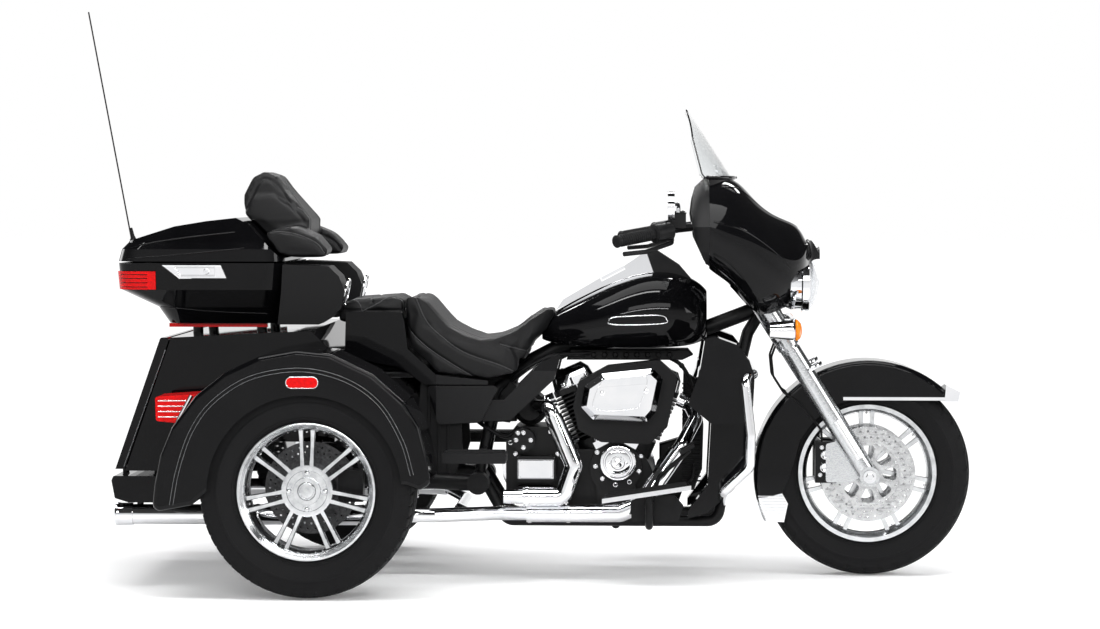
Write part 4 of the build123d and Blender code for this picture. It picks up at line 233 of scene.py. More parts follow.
def above(tree, value, edge, soft):
    """1 where the value lies past the edge, with a soft step."""
    return map_range(tree, value, 0, 1, edge - soft, edge + soft)


def dash_mask(tree):
    """Black pod above and ahead of the tank's chrome console."""
    axes = object_axes(tree)
    return above(
        tree, math_node(tree, "ADD", axes[0], math_node(tree, "MULTIPLY", axes[2], 0.35)), 0.755, 0.001
    )


def side_cover_mask(tree):
    """Satin on the side covers and blades below the body line, gloss above it."""
    axes = object_axes(tree)
    low = math_node(tree, "SUBTRACT", 1.0, above(tree, axes[2], 0.652, 0.0006))
    ahead = above(tree, axes[0], -0.25, 0.001)
    return math_node(tree, "MULTIPLY", low, ahead)


def board_mask(tree):
    """Black on the passenger's boards behind, chrome on the rider's."""
    return math_node(tree, "SUBTRACT", 1.0, above(tree, object_axes(tree)[0], 0.12, 0.001))


SCREEN = screen_material()
PANELS = region_material("panels", side_cover_mask, GLOSS_FINISH, SATIN_FINISH)
CONSOLE = region_material("console", dash_mask, CHROME_FINISH, SATIN_FINISH)
BOARDS = region_material("boards", board_mask, CHROME_FINISH, SATIN_FINISH)

SLOT_MATERIALS = {
    "black_paint": BLACK_PAINT,
    "satin_black": SATIN_BLACK,
    "chrome": CHROME,
    "fin_black": BLACK_ENGINE,
    "black_plastic": BLACK_PLASTIC,
    "vinyl": VINYL,
    "tyre": RUBBER,
    "wheel": ALUMINIUM,
    "steel": STEEL,
    "aluminium": ALUMINIUM,
    "red_lens": RED_LENS,
    "clear_screen": SCREEN,
    "mirror": CHROME,
}
NODE_MATERIALS = {
    "body_panels": PANELS,
    "tank_console": CONSOLE,
    "footboards": BOARDS,
}

for subpart in RECORD["subparts"]:
    node = NODES[subpart["node"]]
    node.data.materials.clear()
    node.data.materials.append(NODE_MATERIALS.get(subpart["node"], SLOT_MATERIALS[subpart["material_slot"]]))


# Geometry helpers, in millimetres until a piece is done

def straight_line(points, step=8.0):
    """Points close together along straight runs."""
    places = [Vector(point) for point in points]
    line = []
    for start, end in zip(places, places[1:]):
        parts = max(1, int((end - start).length / step))
        line += [start.lerp(end, part / parts) for part in range(parts)]
    line.append(places[-1])
    return line


def smooth_line(points, step=8.0, closed=False):
    """Points close together on a smooth line through the given ones."""
    places = [Vector(point) for point in points]
    count = len(places)
    if count < 3 and not closed:
        return straight_line(points, step)
    line = []
    spans = count if closed else count - 1
    for i in range(spans):
        before = places[(i - 1) % count] if closed or i else places[0] * 2 - places[1]
        start = places[i]
        end = places[(i + 1) % count]
        last = i + 2
        after = places[last % count] if closed or last < count else end * 2 - start
        parts = max(2, int((end - start).length / step))
        for part in range(parts):
            t = part / parts
            line.append(
                0.5 * (
                    2 * start + (end - before) * t + (2 * before - 5 * start + 4 * end - after) * t * t
                    + (3 * start - before - 3 * end + after) * t ** 3
                )
            )
    if not closed:
        line.append(places[-1])
    return line


def inset_outline(outline, distance):
    """An outline moved in by a distance, whichever way round it runs."""
    count = len(outline)
    area = sum(
        outline[i][0] * outline[(i + 1) % count][1] - outline[(i + 1) % count][0] * outline[i][1]
        for i in range(count)
    )
    turn = 1 if area > 0 else -1
    moved = []
    for i in range(count):
        here = Vector(outline[i])
        before = (here - Vector(outline[i - 1])).normalized()
        after = (Vector(outline[(i + 1) % count]) - here).normalized()
        normal = Vector((-before.y - after.y, before.x + after.x)) * turn
        if normal.length < 0.01:
            normal = Vector((-before.y, before.x)) * turn
        normal.normalize()
        lean = max(0.5, normal.dot(Vector((-before.y, before.x)) * turn))
        moved.append(here + normal * distance / lean)
    return moved


def round_outline(half_width, half_height, corner, centre=(0, 0), steps=6):
    """A rectangle with rounded corners."""
    points = []
    for sign_a, sign_b, start in ((1, 1, 0), (-1, 1, 90), (-1, -1, 180), (1, -1, 270)):
        for step in range(steps + 1):
            angle = math.radians(start + 90 * step / steps)
            points.append(
                (
                    centre[0] + sign_a * (half_width - corner) + corner * math.cos(angle),
                    centre[1] + sign_b * (half_height - corner) + corner * math.sin(angle),
                )
            )
    return points


AXES = {"X": Vector((1, 0, 0)), "Y": Vector((0, 1, 0)), "Z": Vector((0, 0, 1))}


def side_vectors(axis):
    """Two directions across an axis."""
    if axis == "Y":
        return Vector((1, 0, 0)), Vector((0, 0, 1))
    if axis == "X":
        return Vector((0, 1, 0)), Vector((0, 0, 1))
    if axis == "Z":
        return Vector((1, 0, 0)), Vector((0, 1, 0))
    first = axis.orthogonal().normalized()
    return first, axis.cross(first).normalized()


class Piece:
    """Faces gathered for one visible piece, in millimetres until it is done."""

    def __init__(self, name, body, slot, *materials):
        self.name = name
        self.body = body
        self.slot = slot
        self.materials = materials
        self.mesh = bmesh.new()

    def grid(self, rows, slot=0, loop_rows=False, loop_columns=True, caps=False):
        """Faces between rows of points."""
        lines = [[self.mesh.verts.new(point) for point in row] for row in rows]
        count = len(lines)
        width = len(lines[0])
        for i in range(count if loop_rows else count - 1):
            low = lines[i]
            high = lines[(i + 1) % count]
            for j in range(width if loop_columns else width - 1):
                k = (j + 1) % width
                face = self.mesh.faces.new((low[j], low[k], high[k], high[j]))
                face.material_index = slot[j] if isinstance(slot, (list, tuple)) else slot
        if caps:
            for line in (lines[0], lines[-1]):
                face = self.mesh.faces.new(line)
                face.material_index = slot[0] if isinstance(slot, (list, tuple)) else slot

    def lathe(self, profile, centre, axis="Y", steps=96, slot=0, closed=True):
        """A profile of (radius, offset along the axis) turned round a centre."""
        first, second = side_vectors(axis)
        along = AXES.get(axis, axis) if isinstance(axis, str) else axis
        rows = []
        for step in range(steps):
            angle = math.tau * step / steps
            out = first * math.cos(angle) + second * math.sin(angle)
            rows.append([Vector(centre) + out * radius + along * offset for radius, offset in profile])
        self.grid(rows, slot, loop_rows=True, loop_columns=closed)

    def tube(self, points, radius, slot=0, sides=12, closed=False, smooth=True, step=8.0):
        """A round bar along a line."""
        line = smooth_line(points, step, closed) if smooth else [Vector(point) for point in points]
        count = len(line)
        rows = []
        across = None
        for i, place in enumerate(line):
            if closed:
                ahead = line[(i + 1) % count] - line[i - 1]
            else:
                ahead = line[min(i + 1, count - 1)] - line[max(i - 1, 0)]
            ahead.normalize()
            across = ahead.orthogonal().normalized() if across is None else (
                across - ahead * across.dot(ahead)
            )
            across.normalize()
            up = ahead.cross(across)
            row = []
            for j in range(sides):
                angle = math.tau * j / sides
                row.append(place + (across * math.cos(angle) + up * math.sin(angle)) * radius)
            rows.append(row)
        self.grid(rows, slot, loop_rows=closed, caps=not closed)

    def strip(self, places, width, height, slot=0, sides=8, closed=False):
        """A low rounded strip along (place, normal) pairs on a surface."""
        count = len(places)
        if count < 2:
            return
        rows = []
        for i, (place, normal) in enumerate(places):
            if closed:
                ahead = places[(i + 1) % count][0] - places[i - 1][0]
            else:
                ahead = places[min(i + 1, count - 1)][0] - places[max(i - 1, 0)][0]
            ahead.normalize()
            across = ahead.cross(normal).normalized()
            row = []
            for j in range(sides):
                angle = math.tau * j / sides
                row.append(place + across * width / 2 * math.cos(angle) + normal * height * math.sin(angle))
            rows.append(row)
        self.grid(rows, slot, loop_rows=closed, caps=not closed)

    def plate(self, outline, low, high, axis="Y", edge=1.0, slot=0, centre=(0, 0, 0), face_slot=None):
        """A plate with eased edges between two levels of an axis."""
        first, second = side_vectors(axis)
        along = AXES.get(axis, axis) if isinstance(axis, str) else axis
        inner = inset_outline(outline, edge)
        turn = 1 if high > low else -1
        rows = []
        for shape, level in (
            (inner, low), (outline, low + turn * edge), (outline, high - turn * edge), (inner, high),
        ):
            rows.append([Vector(centre) + first * a + second * b + along * level for a, b in shape])
        self.grid(rows, slot)
        for row in (rows[0], rows[-1]):
            face = self.mesh.faces.new([self.mesh.verts.new(point) for point in row])
            face.material_index = slot if face_slot is None else face_slot

    def bolt(self, centre, axis, radius, height, slot=0, sides=6, socket=True):
        """A bolt head on its washer, with a hollow in it."""
        along = AXES[axis] if isinstance(axis, str) else axis
        turn = 1 if height > 0 else -1
        rim = abs(height) * 0.18 * turn
        self.lathe(
            [(0, 0), (radius * 1.25, 0), (radius * 1.25, rim), (radius * 1.05, rim), (0, rim)],
            centre, axis, 20, slot, closed=False,
        )
        hollow = 0.45 if socket else 0.0
        profile = [(radius, rim), (radius, height * 0.8), (radius * 0.86, height)]
        if socket:
            profile += [(radius * hollow, height), (radius * hollow, height * 0.45), (0, height * 0.45)]
        else:
            profile += [(0, height * 1.04)]
        first, second = side_vectors(axis)
        rows = []
        for step in range(sides):
            angle = math.tau * step / sides
            out = first * math.cos(angle) + second * math.sin(angle)
            rows.append([Vector(centre) + out * size + along * offset for size, offset in profile])
        self.grid(rows, slot, loop_rows=True, loop_columns=False)

    def punched(self, outline, holes, thickness, centre, axis="Y", slot=0, edge=0.4):
        """A flat plate with holes cut through it."""
        curve = bpy.data.curves.new("punched", "CURVE")
        curve.dimensions = "2D"
        curve.fill_mode = "BOTH"
        curve.extrude = thickness / 2 - edge
        curve.bevel_depth = edge
        for loop in [outline, *holes]:
            spline = curve.splines.new("POLY")
            spline.points.add(len(loop) - 1)
            for point, (a, b) in zip(spline.points, loop):
                point.co = (a, b, 0, 1)
            spline.use_cyclic_u = True
        holder = bpy.data.objects.new("punched", curve)
        flat = bpy.data.meshes.new_from_object(holder)
        first, second = side_vectors(axis)
        along = AXES[axis]
        for vertex in flat.vertices:
            a, b, c = vertex.co
            vertex.co = Vector(centre) + first * a + second * b + along * c
        known = len(self.mesh.faces)
        self.mesh.from_mesh(flat)
        self.mesh.faces.ensure_lookup_table()
        for face in self.mesh.faces[known:]:
            face.material_index = slot
        bpy.data.objects.remove(holder)
        bpy.data.curves.remove(curve)
        bpy.data.meshes.remove(flat)

    def done(self, *replaced, shade=38, weld=0.004):
        bmesh.ops.remove_doubles(self.mesh, verts=self.mesh.verts, dist=weld)
        loose = [face for face in self.mesh.faces if face.calc_area() < 1e-7]
        bmesh.ops.delete(self.mesh, geom=loose, context="FACES_ONLY")
        bmesh.ops.recalc_face_normals(self.mesh, faces=self.mesh.faces)
        data = bpy.data.meshes.new(self.name)
        self.mesh.to_mesh(data)
        self.mesh.free()
        data.transform(Matrix.Translation(at(0, 0, 0)) @ Matrix.Scale(0.001, 4))
        return add_object(self.name, data, self.body, self.materials, replaced, shade)


def add_object(name, data, body, materials, replaced=(), shade=38):
    """Link a mesh as a piece that rides a body."""
    data.materials.clear()
    for material in materials:
        data.materials.append(material)
    data.polygons.foreach_set("use_smooth", [True] * len(data.polygons))
    data.set_sharp_from_angle(angle=math.radians(shade))
    made = bpy.data.objects.new(name, data)
    bpy.context.scene.collection.objects.link(made)
    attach(made, body)
    if replaced:
        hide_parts(*replaced)
    return made


def node_points(name):
    """A CAD node's corners and faces in the frame, in metres."""
    node = NODES[name]
    world = node.matrix_world
    corners = [world @ vertex.co for vertex in node.data.vertices]
    faces = [tuple(polygon.vertices) for polygon in node.data.polygons]
    return corners, faces


def surface_tree(*names):
    corners, faces = [], []
    for name in names:
        more, rings = node_points(name)
        faces += [tuple(index + len(corners) for index in ring) for ring in rings]
        corners += more
    return BVHTree.FromPolygons(corners, faces)


TREES = {}


def lay(points, names, toward, step=6.0, closed=False, smooth=True):
    """Where rays from a line's points meet the nodes: pairs of place and normal, in millimetres."""
    if names not in TREES:
        TREES[names] = surface_tree(*names)
    line = smooth_line(points, step, closed) if smooth else straight_line(points, step)
    found = []
    for point in line:
        place, normal, _, _ = TREES[names].ray_cast(at(*point), Vector(toward))
        if place is not None:
            if normal.dot(Vector(toward)) > 0:
                normal = -normal
            found.append((Vector((place.x * 1000 + MIDDLE_X, place.y * 1000, place.z * 1000)), normal))
    return found


def lay_side(points, names, side, step=6.0, closed=False, smooth=True, start=900):
    """A line of (x, z) laid on the side of the nodes that faces outward."""
    return lay([(x, side * start, z) for x, z in points], names, (0, -side, 0), step, closed, smooth)


# Tyres, rims and discs

def tyre_profile(outer, width, lip, rim_width, square):
    """Half of a tyre's outer line from the bead to the crown, as (radius, offset)."""
    half = width / 2
    wall = outer - lip
    points = [
        (lip - 10, rim_width / 2 - 8), (lip + 3, rim_width / 2 - 5), (lip + 7, rim_width / 2 + 1),
        (lip + 10, rim_width / 2 + 1), (lip + 11.5, rim_width / 2 + 4), (lip + 14, rim_width / 2 + 4.4),
        (lip + 15.5, rim_width / 2 + 3.6), (lip + wall * 0.42, half - 2.0), (lip + wall * 0.455, half - 1.2),
        (lip + wall * 0.47, half), (lip + wall * 0.52, half), (lip + wall * 0.535, half - 1.2),
        (lip + wall * 0.66, half - 3.5),
    ]
    shoulder = half * (0.90 if square else 0.84)
    drop = wall * (0.09 if square else 0.17)
    points += [
        (outer - drop - wall * 0.10, half * 0.955), (outer - drop, shoulder + half * 0.03),
        (outer - drop * 0.72, shoulder - half * 0.03),
    ]
    for part in (0.84, 0.72, 0.60, 0.48, 0.36, 0.24, 0.12, 0.0):
        edge = shoulder * part / 0.95
        fall = drop * 0.72 * (part / 0.92) ** (3.0 if square else 2.0)
        points.append((outer - fall, edge))
    return points


def groove_depth(angle, offset, radius, tyre):
    """How deep the tread is cut at a place on the tyre."""
    outer, half, square, count = tyre
    if radius < outer - (36 if square else 44):
        return 0.0
    reach = abs(offset) / half
    ring_width = 0.045
    rings = (0.18, 0.56) if square else (0.13,)
    for ring in rings:
        if abs(reach - ring) < ring_width:
            return 6.0
    lean = 0.55 if square else 1.25
    side = 1 if offset > 0 else -1
    turn = angle / math.tau * count + side * 0.25 + reach * lean
    part = turn % 1.0
    start = 0.62 if square else 0.24
    if reach > start and part < 0.17:
        return 5.0
    if not square and 0.3 < reach < 0.72 and 0.5 < part < 0.6:
        return 3.5
    if square and 0.2 < reach < 0.54 and part < 0.10:
        return 4.0
    return 0.0


def make_tyre(node_name, body, centre, outer, width, lip, rim_width, square, count):
    half_line = tyre_profile(outer, width, lip, rim_width, square)
    dense = smooth_line([(radius, offset, 0) for radius, offset in half_line], 4.0)
    right_side = [(point.x, point.y) for point in dense]
    profile = right_side + [(radius, -offset) for radius, offset in reversed(right_side[:-1])]
    tyre = (outer, width / 2, square, count)
    piece = Piece(node_name + "_tread", body, "tyre", RUBBER)
    rows = []
    for step in range(TYRE_STEPS):
        angle = math.tau * step / TYRE_STEPS
        out = Vector((math.cos(angle), 0, math.sin(angle)))
        row = []
        for radius, offset in profile:
            depth = groove_depth(angle, offset, radius, tyre)
            row.append(
                Vector(centre) + out * (radius - depth) + Vector((0, offset * (1 - depth * 0.0006), 0))
            )
        rows.append(row)
    piece.grid(rows, loop_rows=True, loop_columns=True)
    return piece.done(node_name, shade=32)


def rim_section(y_out, y_in, lip):
    """The barrel's closed outline, from the bright outer lip across to the plain inner one."""
    turn = 1 if y_out > y_in else -1
    seat = lip - 12
    wall = seat - 9
    return [
        (lip, y_out - turn * 5), (lip - 0.8, y_out - turn * 1.2), (lip - 3, y_out), (lip - 7, y_out),
        (lip - 9.5, y_out - turn * 2.5), (seat - 3, y_out - turn * 9), (seat - 6, y_out - turn * 12),
        (wall - 1, y_out - turn * 16), (wall - 5, y_out - turn * 26), (wall - 7, (y_out + y_in) / 2),
        (wall, y_in + turn * 20), (seat - 1, y_in), (lip, y_in), (lip, y_in + turn * 7),
        (seat, y_in + turn * 8), (seat, y_out - turn * 9), (lip - 0.5, y_out - turn * 8.5),
    ]


RIM_BRIGHT_FACES = 6
SPOKE_PAIRS = 7
TYRE_STEPS = 440
MACHINED = surface("machined", (0.50, 0.51, 0.52), (0.66, 0.67, 0.68), 1, (0.16, 0.24), 40, 0.05)
DISC_STEEL = surface("disc_steel", (0.40, 0.405, 0.41), (0.56, 0.565, 0.57), 1, (0.22, 0.32), 60, 0.1,
                     stretch=(1, 0.1, 1))
DARK_STEEL = surface("dark_steel", (0.035, 0.035, 0.036), (0.07, 0.07, 0.072), 1, (0.34, 0.46), 120, 0.05)


def make_rim(
    node_name, body, centre, lip, rim_width, hub_radius, hub_out, hub_in, spoke_out, spoke_in, side
):
    """A cast wheel: bright lip, dark barrel, pairs of machined spokes and a turned hub."""
    piece = Piece(node_name + "_cast", body, "wheel", MACHINED, BLACK_PAINT, CHROME, MATTE_BLACK_AND_GAP_SHADE)
    x, y, z = centre
    section = rim_section(y + side * rim_width / 2, y - side * rim_width / 2, lip)
    slots = [2] * RIM_BRIGHT_FACES + [1] * (len(section) - RIM_BRIGHT_FACES)
    piece.lathe([(radius, offset - y) for radius, offset in section], centre, "Y", 160, slots)
    wall = lip - 24
    for pair in range(SPOKE_PAIRS):
        middle = math.radians(90 + 360 / SPOKE_PAIRS * pair)
        ahead = Vector((math.cos(middle), 0, math.sin(middle)))
        across = Vector((-math.sin(middle), 0, math.cos(middle)))
        for shift in (-1, 1):
            rows = []
            for part in (0.0, 0.12, 0.35, 0.65, 0.88, 1.0):
                radius = hub_radius - 8 + (wall + 6 - hub_radius) * part
                spread = shift * (13.5 + 4.5 * part)
                half = 7.4 - 1.6 * math.sin(math.pi * part)
                dish = side * (3.5 * math.sin(math.pi * part))
                root = Vector((x, 0, z)) + ahead * radius + across * spread
                top = y + spoke_out - dish
                base = y + spoke_in
                row = []
                for shape_a, shape_y in (
                    (-half + 1.4, top), (half - 1.4, top), (half, top - side * 1.6), (
                        half * 1.12, top - side * 9
                    ),
                    (half * 0.9, base), (-half * 0.9, base), (-half * 1.12, top - side * 9),
                    (-half, top - side * 1.6),
                ):
                    row.append(root + across * shape_a + Vector((0, shape_y, 0)))
                rows.append(row)
            piece.grid(rows, [0, 0, 1, 1, 1, 1, 1, 0], caps=True)
        end = Vector((x, y + spoke_out - side * 6, z)) + ahead * (wall - 5)
        piece.bolt(end, ahead * -1, 3.2, 3.0, 2)
        for tick in (-0.30, -0.18, 0.18, 0.30):
            angle = middle + tick
            out = Vector((math.cos(angle), 0, math.sin(angle)))
            along = Vector((-math.sin(angle), 0, math.cos(angle)))
            foot = Vector((x, y + side * (rim_width / 2 - 17), z)) + out * (wall + 1.5)
            piece.grid(
                [
                    [
                        foot + along * a + Vector((0, side * b, 0)) + out * c
                        for a, b in ((-1.4, -6), (1.4, -6), (1.4, 6), (-1.4, 6))
                    ]
                    for c in (0.5, -2.2)
                ],
                2, caps=True,
            )
    hub = hub_radius
    profile = [
        (15, hub_in), (hub - 4, hub_in), (hub, hub_in + side * 5), (hub - 2, spoke_in),
        (hub, spoke_out - side * 10), (hub, spoke_out - side * 2), (hub - 1.5, spoke_out - side * 0.5),
        (hub - 6, spoke_out), (hub * 0.80, spoke_out), (hub * 0.78, spoke_out - side * 2.4),
        (hub * 0.54, spoke_out - side * 2.4), (hub * 0.52, hub_out), (hub * 0.36, hub_out),
        (hub * 0.34, hub_out - side * 3), (15, hub_out - side * 3),
    ]
    hub_slots = [1, 1, 1, 1, 0, 0, 0, 0, 0, 1, 0, 0, 0, 1, 1]
    piece.lathe(profile, centre, "Y", 96, hub_slots)
    return piece


FRONT_CENTRE = (WHEELBASE, 0, FRONT_AXLE_Z)
REAR_CENTRES = {"right": (0, -567, REAR_AXLE_Z), "left": (0, 567, REAR_AXLE_Z)}
SIDE_SIGNS = (("right", -1), ("left", 1))

make_tyre("front_tyre", "front_wheel", FRONT_CENTRE, 322.5, 129, 216, 92, False, 38)

front_rim = make_rim(
    "front_rim", "front_wheel", FRONT_CENTRE, 216, 92, 46, 62, -62, 14, -10, 1
)
for side in (-1, 1):
    front_rim.lathe(
        [(20, side * 55), (34, side * 55), (34, side * 60.5), (30, side * 62.5), (20, side * 62.5)],
        FRONT_CENTRE, "Y", 64, 0,
    )
front_rim.done("front_rim")


def ring_points(radius, count, start=0.0):
    return [
        (radius * math.cos(math.tau * i / count + start), radius * math.sin(math.tau * i / count + start))
        for i in range(count)
    ]


def hole_ring(radius, count, size, start=0.0, sides=10):
    return [
        [(a + size * math.cos(math.tau * k / sides),
            b + size * math.sin(math.tau * k / sides)) for k in range(sides)]
        for a, b in ring_points(radius, count, start)
    ]


def window(inner, outer, angle, half_angle):
    """A rounded slot through a disc carrier, between two radii."""
    middle = (inner + outer) / 2
    depth = (outer - inner) / 2
    points = []
    for i in range(20):
        turn = math.tau * i / 20
        a, b = math.cos(turn), math.sin(turn)
        stretch = 1 / (abs(a) ** 4 + abs(b) ** 4) ** 0.25
        radius = middle + depth * a * stretch
        where = angle + half_angle * b * stretch
        points.append((radius * math.cos(where), radius * math.sin(where)))
    return points


FRONT_DISC_RADIUS = 148
FRONT_CARRIER_RADIUS = 100
front_discs = Piece("front_discs_drilled", "front_wheel", "steel", DISC_STEEL, BLACK_ENGINE, STEEL)
for side in (-1, 1):
    centre = (WHEELBASE, side * 66, FRONT_AXLE_Z)
    holes = hole_ring(FRONT_DISC_RADIUS - 14, 36, 3.6)
    holes += hole_ring(FRONT_DISC_RADIUS - 32, 36, 3.6, math.tau / 72)
    front_discs.punched(
        ring_points(FRONT_DISC_RADIUS, 128), [*holes, ring_points(FRONT_CARRIER_RADIUS, 96)], 5, centre
    )
    windows = [window(46, 90, math.tau * i / 8, 0.27) for i in range(8)]
    front_discs.punched(
        ring_points(FRONT_CARRIER_RADIUS + 1, 96), [*windows, ring_points(27, 48)], 3.6, centre, slot=1
    )
    for a, b in ring_points(96, 8, math.tau / 16):
        front_discs.bolt((WHEELBASE + a, side * 67.6, FRONT_AXLE_Z + b), "Y", 4.5, side * 2.4, 2, 12, False)
    for a, b in ring_points(37, 5, 0.3):
        front_discs.bolt((WHEELBASE + a, side * 67.6, FRONT_AXLE_Z + b), "Y", 3.6, side * 2.6, 2)
front_discs.done("front_discs")

for name, side in SIDE_SIGNS:
    body = "rear_wheel_" + name
    centre = REAR_CENTRES[name]
    y = centre[1]
    make_tyre("rear_tyre_" + name, body, centre, 320.5, 204, 206, 170, True, 56)
    rim = make_rim(
        "rear_rim_" + name, body, centre, 206, 170, 77, side * 66, -side * 41, side * 60, side * 24, side
    )
    for a, b in ring_points(54, 4):
        nut = (a, y + side * 57.6, REAR_AXLE_Z + b)
        rim.lathe(
            [(13.5, 0), (13.5, side * 0.4), (9.8, -side * 3.5), (0, -side * 3.5)], nut, "Y", 24, 3,
            closed=False
        )
        rim.lathe(
            [(8.2, 0), (8.2, side * 5), (6.6, side * 9), (3, side * 11), (0, side * 11.4)], nut, "Y", 6, 2,
            closed=False,
        )
    cap = (0, y, REAR_AXLE_Z)
    cap_y = side * 63
    rim.lathe(
        [(26, cap_y), (26, cap_y + side * 5), (24, cap_y + side * 7), (21, cap_y + side * 7),
         (20, cap_y + side * 5.4), (12, cap_y + side * 5.8), (0, cap_y + side * 6.2)],
        cap, "Y", 64, [2, 2, 2, 2, 3, 1], closed=False,
    )
    rim.done("rear_rim_" + name)
    disc_y = y - side * 44
    disc = Piece("rear_disc_drilled_" + name, body, "steel", DARK_STEEL, BLACK_ENGINE)
    middle = (0, disc_y, REAR_AXLE_Z)
    holes = hole_ring(124, 34, 3.6) + hole_ring(108, 34, 3.6, math.tau / 68)
    disc.punched(ring_points(138, 128), [*holes, ring_points(92, 96)], 5, middle)
    disc.punched(ring_points(93, 96), [ring_points(34, 48)], 4, middle, slot=1)
    disc.done("rear_disc_" + name)


# Seats and backrest: softened from their solids, then seams and piping

SEAT_FRAMES = 20


def seam_reach(point, lines):
    """How near a point, in millimetres, is to any seam line of (x, z)."""
    nearest = 1e9
    for line in lines:
        for start, end in zip(line, line[1:]):
            along = end - start
            part = max(0.0, min(1.0, (point - start).dot(along) / along.length_squared))
            nearest = min(nearest, (point - start - along * part).length)
    return nearest


def soften(node_name, name, body, voxel, shrink, swell, material, seams=(), seam_side=60, rows=()):
    """A cushion: the solid's shape remeshed, drawn in a little, blown up by cloth and cut by its seams."""
    source = NODES[node_name]
    data = source.data.copy()
    data.transform(source.matrix_world)
    data.materials.clear()
    cushion = bpy.data.objects.new(name, data)
    bpy.context.scene.collection.objects.link(cushion)
    bpy.context.view_layer.objects.active = cushion
    remesh = cushion.modifiers.new("remesh", "REMESH")
    remesh.mode = "VOXEL"
    remesh.voxel_size = voxel / 1000
    smooth = cushion.modifiers.new("smooth", "SMOOTH")
    smooth.factor = 0.6
    smooth.iterations = 5
    draw_in = cushion.modifiers.new("draw_in", "DISPLACE")
    draw_in.strength = -shrink / 1000
    draw_in.mid_level = 0.0
    bake(cushion)
    start = [vertex.co.copy() for vertex in cushion.data.vertices]
    cloth = cushion.modifiers.new("cloth", "CLOTH")
    cloth.settings.quality = 5
    cloth.settings.mass = 0.3
    cloth.settings.use_pressure = True
    cloth.settings.uniform_pressure_force = 4
    cloth.settings.effector_weights.gravity = 0
    cloth.point_cache.frame_end = SEAT_FRAMES
    for step in range(1, SEAT_FRAMES + 1):
        bpy.context.scene.frame_set(step)
    graph = bpy.context.evaluated_depsgraph_get()
    blown = cushion.evaluated_get(graph)
    ends = [vertex.co.copy() for vertex in blown.data.vertices]
    cushion.modifiers.clear()
    for vertex, before, after in zip(cushion.data.vertices, start, ends):
        move = after - before
        if move.length > swell / 1000:
            move *= swell / 1000 / move.length
        vertex.co = before + move
    bpy.context.scene.frame_set(1)
    relax = cushion.modifiers.new("relax", "SMOOTH")
    relax.factor = 0.5
    relax.iterations = 3
    subdivide = cushion.modifiers.new("subdivide", "SUBSURF")
    subdivide.levels = 1
    subdivide.render_levels = 1
    bake(cushion)
    lines = [[Vector(point) for point in smooth_line([(x, z, 0) for x, z in line], 12)] for line in seams]
    flat_lines = [[point.xy for point in line] for line in lines]
    if flat_lines or rows:
        cushion.data.update()
        moves = []
        for vertex in cushion.data.vertices:
            x = vertex.co.x * 1000 + MIDDLE_X
            y = vertex.co.y * 1000
            z = vertex.co.z * 1000
            depth = 0.0
            if flat_lines and abs(y) > seam_side:
                reach = seam_reach(Vector((x, z)), flat_lines)
                if reach < 16:
                    depth += 3.2 * math.exp(-((reach / 5.0) ** 2))
            for kind, level, width, low, high in rows:
                value = {"x": x, "y": abs(y), "z": z}[kind]
                other = {"x": z, "y": x, "z": x}[kind]
                if low < other < high:
                    depth += 3.0 * math.exp(-(((value - level) / width) ** 2))
            if depth:
                moves.append((vertex, vertex.normal.copy() * -depth / 1000))
        for vertex, move in moves:
            vertex.co += move
    data = cushion.data
    data.materials.clear()
    data.materials.append(material)
    data.polygons.foreach_set("use_smooth", [True] * len(data.polygons))
    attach(cushion, body)
    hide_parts(node_name)
    return cushion


def bake(piece):
    """Apply every modifier of a piece to its mesh."""
    graph = bpy.context.evaluated_depsgraph_get()
    made = bpy.data.meshes.new_from_object(piece.evaluated_get(graph))
    piece.modifiers.clear()
    piece.data = made


SEAT_SEAMS = [
    [(229, 881), (251, 800), (313, 732), (400, 672), (485, 623)],
    [(282, 888), (317, 810), (357, 766), (435, 710), (547, 670), (603, 642)],
    [(547, 735), (650, 705)],
]
rider_seat = soften(
    "rider_seat", "rider_seat_cover", "chassis", 6.5, 4.0, 5.0, VINYL, SEAT_SEAMS, 70,
    [("y", 118, 5.0, 395, 640)],
)
passenger_seat = soften(
    "passenger_seat", "passenger_seat_cover", "chassis", 6.0, 3.5, 4.5, VINYL, (), 0,
    [("z", 838, 4.0, 40, 250), ("x", 146, 5.0, 860, 900)],
)
backrest = soften(
    "backrest", "backrest_cover", "box_lid", 6.5, 4.0, 5.0, VINYL,
    [[(-252, 1150), (-214, 1236), (-186, 1246), (-150, 1222), (-112, 1168), (-70, 1118)],
     [(-160, 1086), (-80, 1078), (-12, 1050), (14, 1018)]], 60, [("y", 120, 5.0, -240, -60)],
)


def piping(name, body, lines, material, width, height):
    """Sewn cords laid over a cushion's seams."""
    piece = Piece(name, body, "vinyl", material)
    for names, toward, points, closed in lines:
        places = lay(points, names, toward, 6.0, closed)
        if len(places) > 3:
            piece.strip(places, width, height, 0, 8, closed)
    return piece.done(shade=60)


def own_tree(piece, name):
    """Let lines be laid on a piece made here."""
    world = piece.matrix_world
    corners = [world @ vertex.co for vertex in piece.data.vertices]
    TREES[(name,)] = BVHTree.FromPolygons(
        corners, [tuple(polygon.vertices) for polygon in piece.data.polygons]
    )


own_tree(rider_seat, "rider_cover")
own_tree(passenger_seat, "passenger_cover")
own_tree(backrest, "backrest_cover")
SEAT_THREAD = surface(
    "seat_thread", (0.012, 0.012, 0.013), (0.03, 0.03, 0.031), 0, (0.45, 0.6), 900, 0.4, 0.0003
)

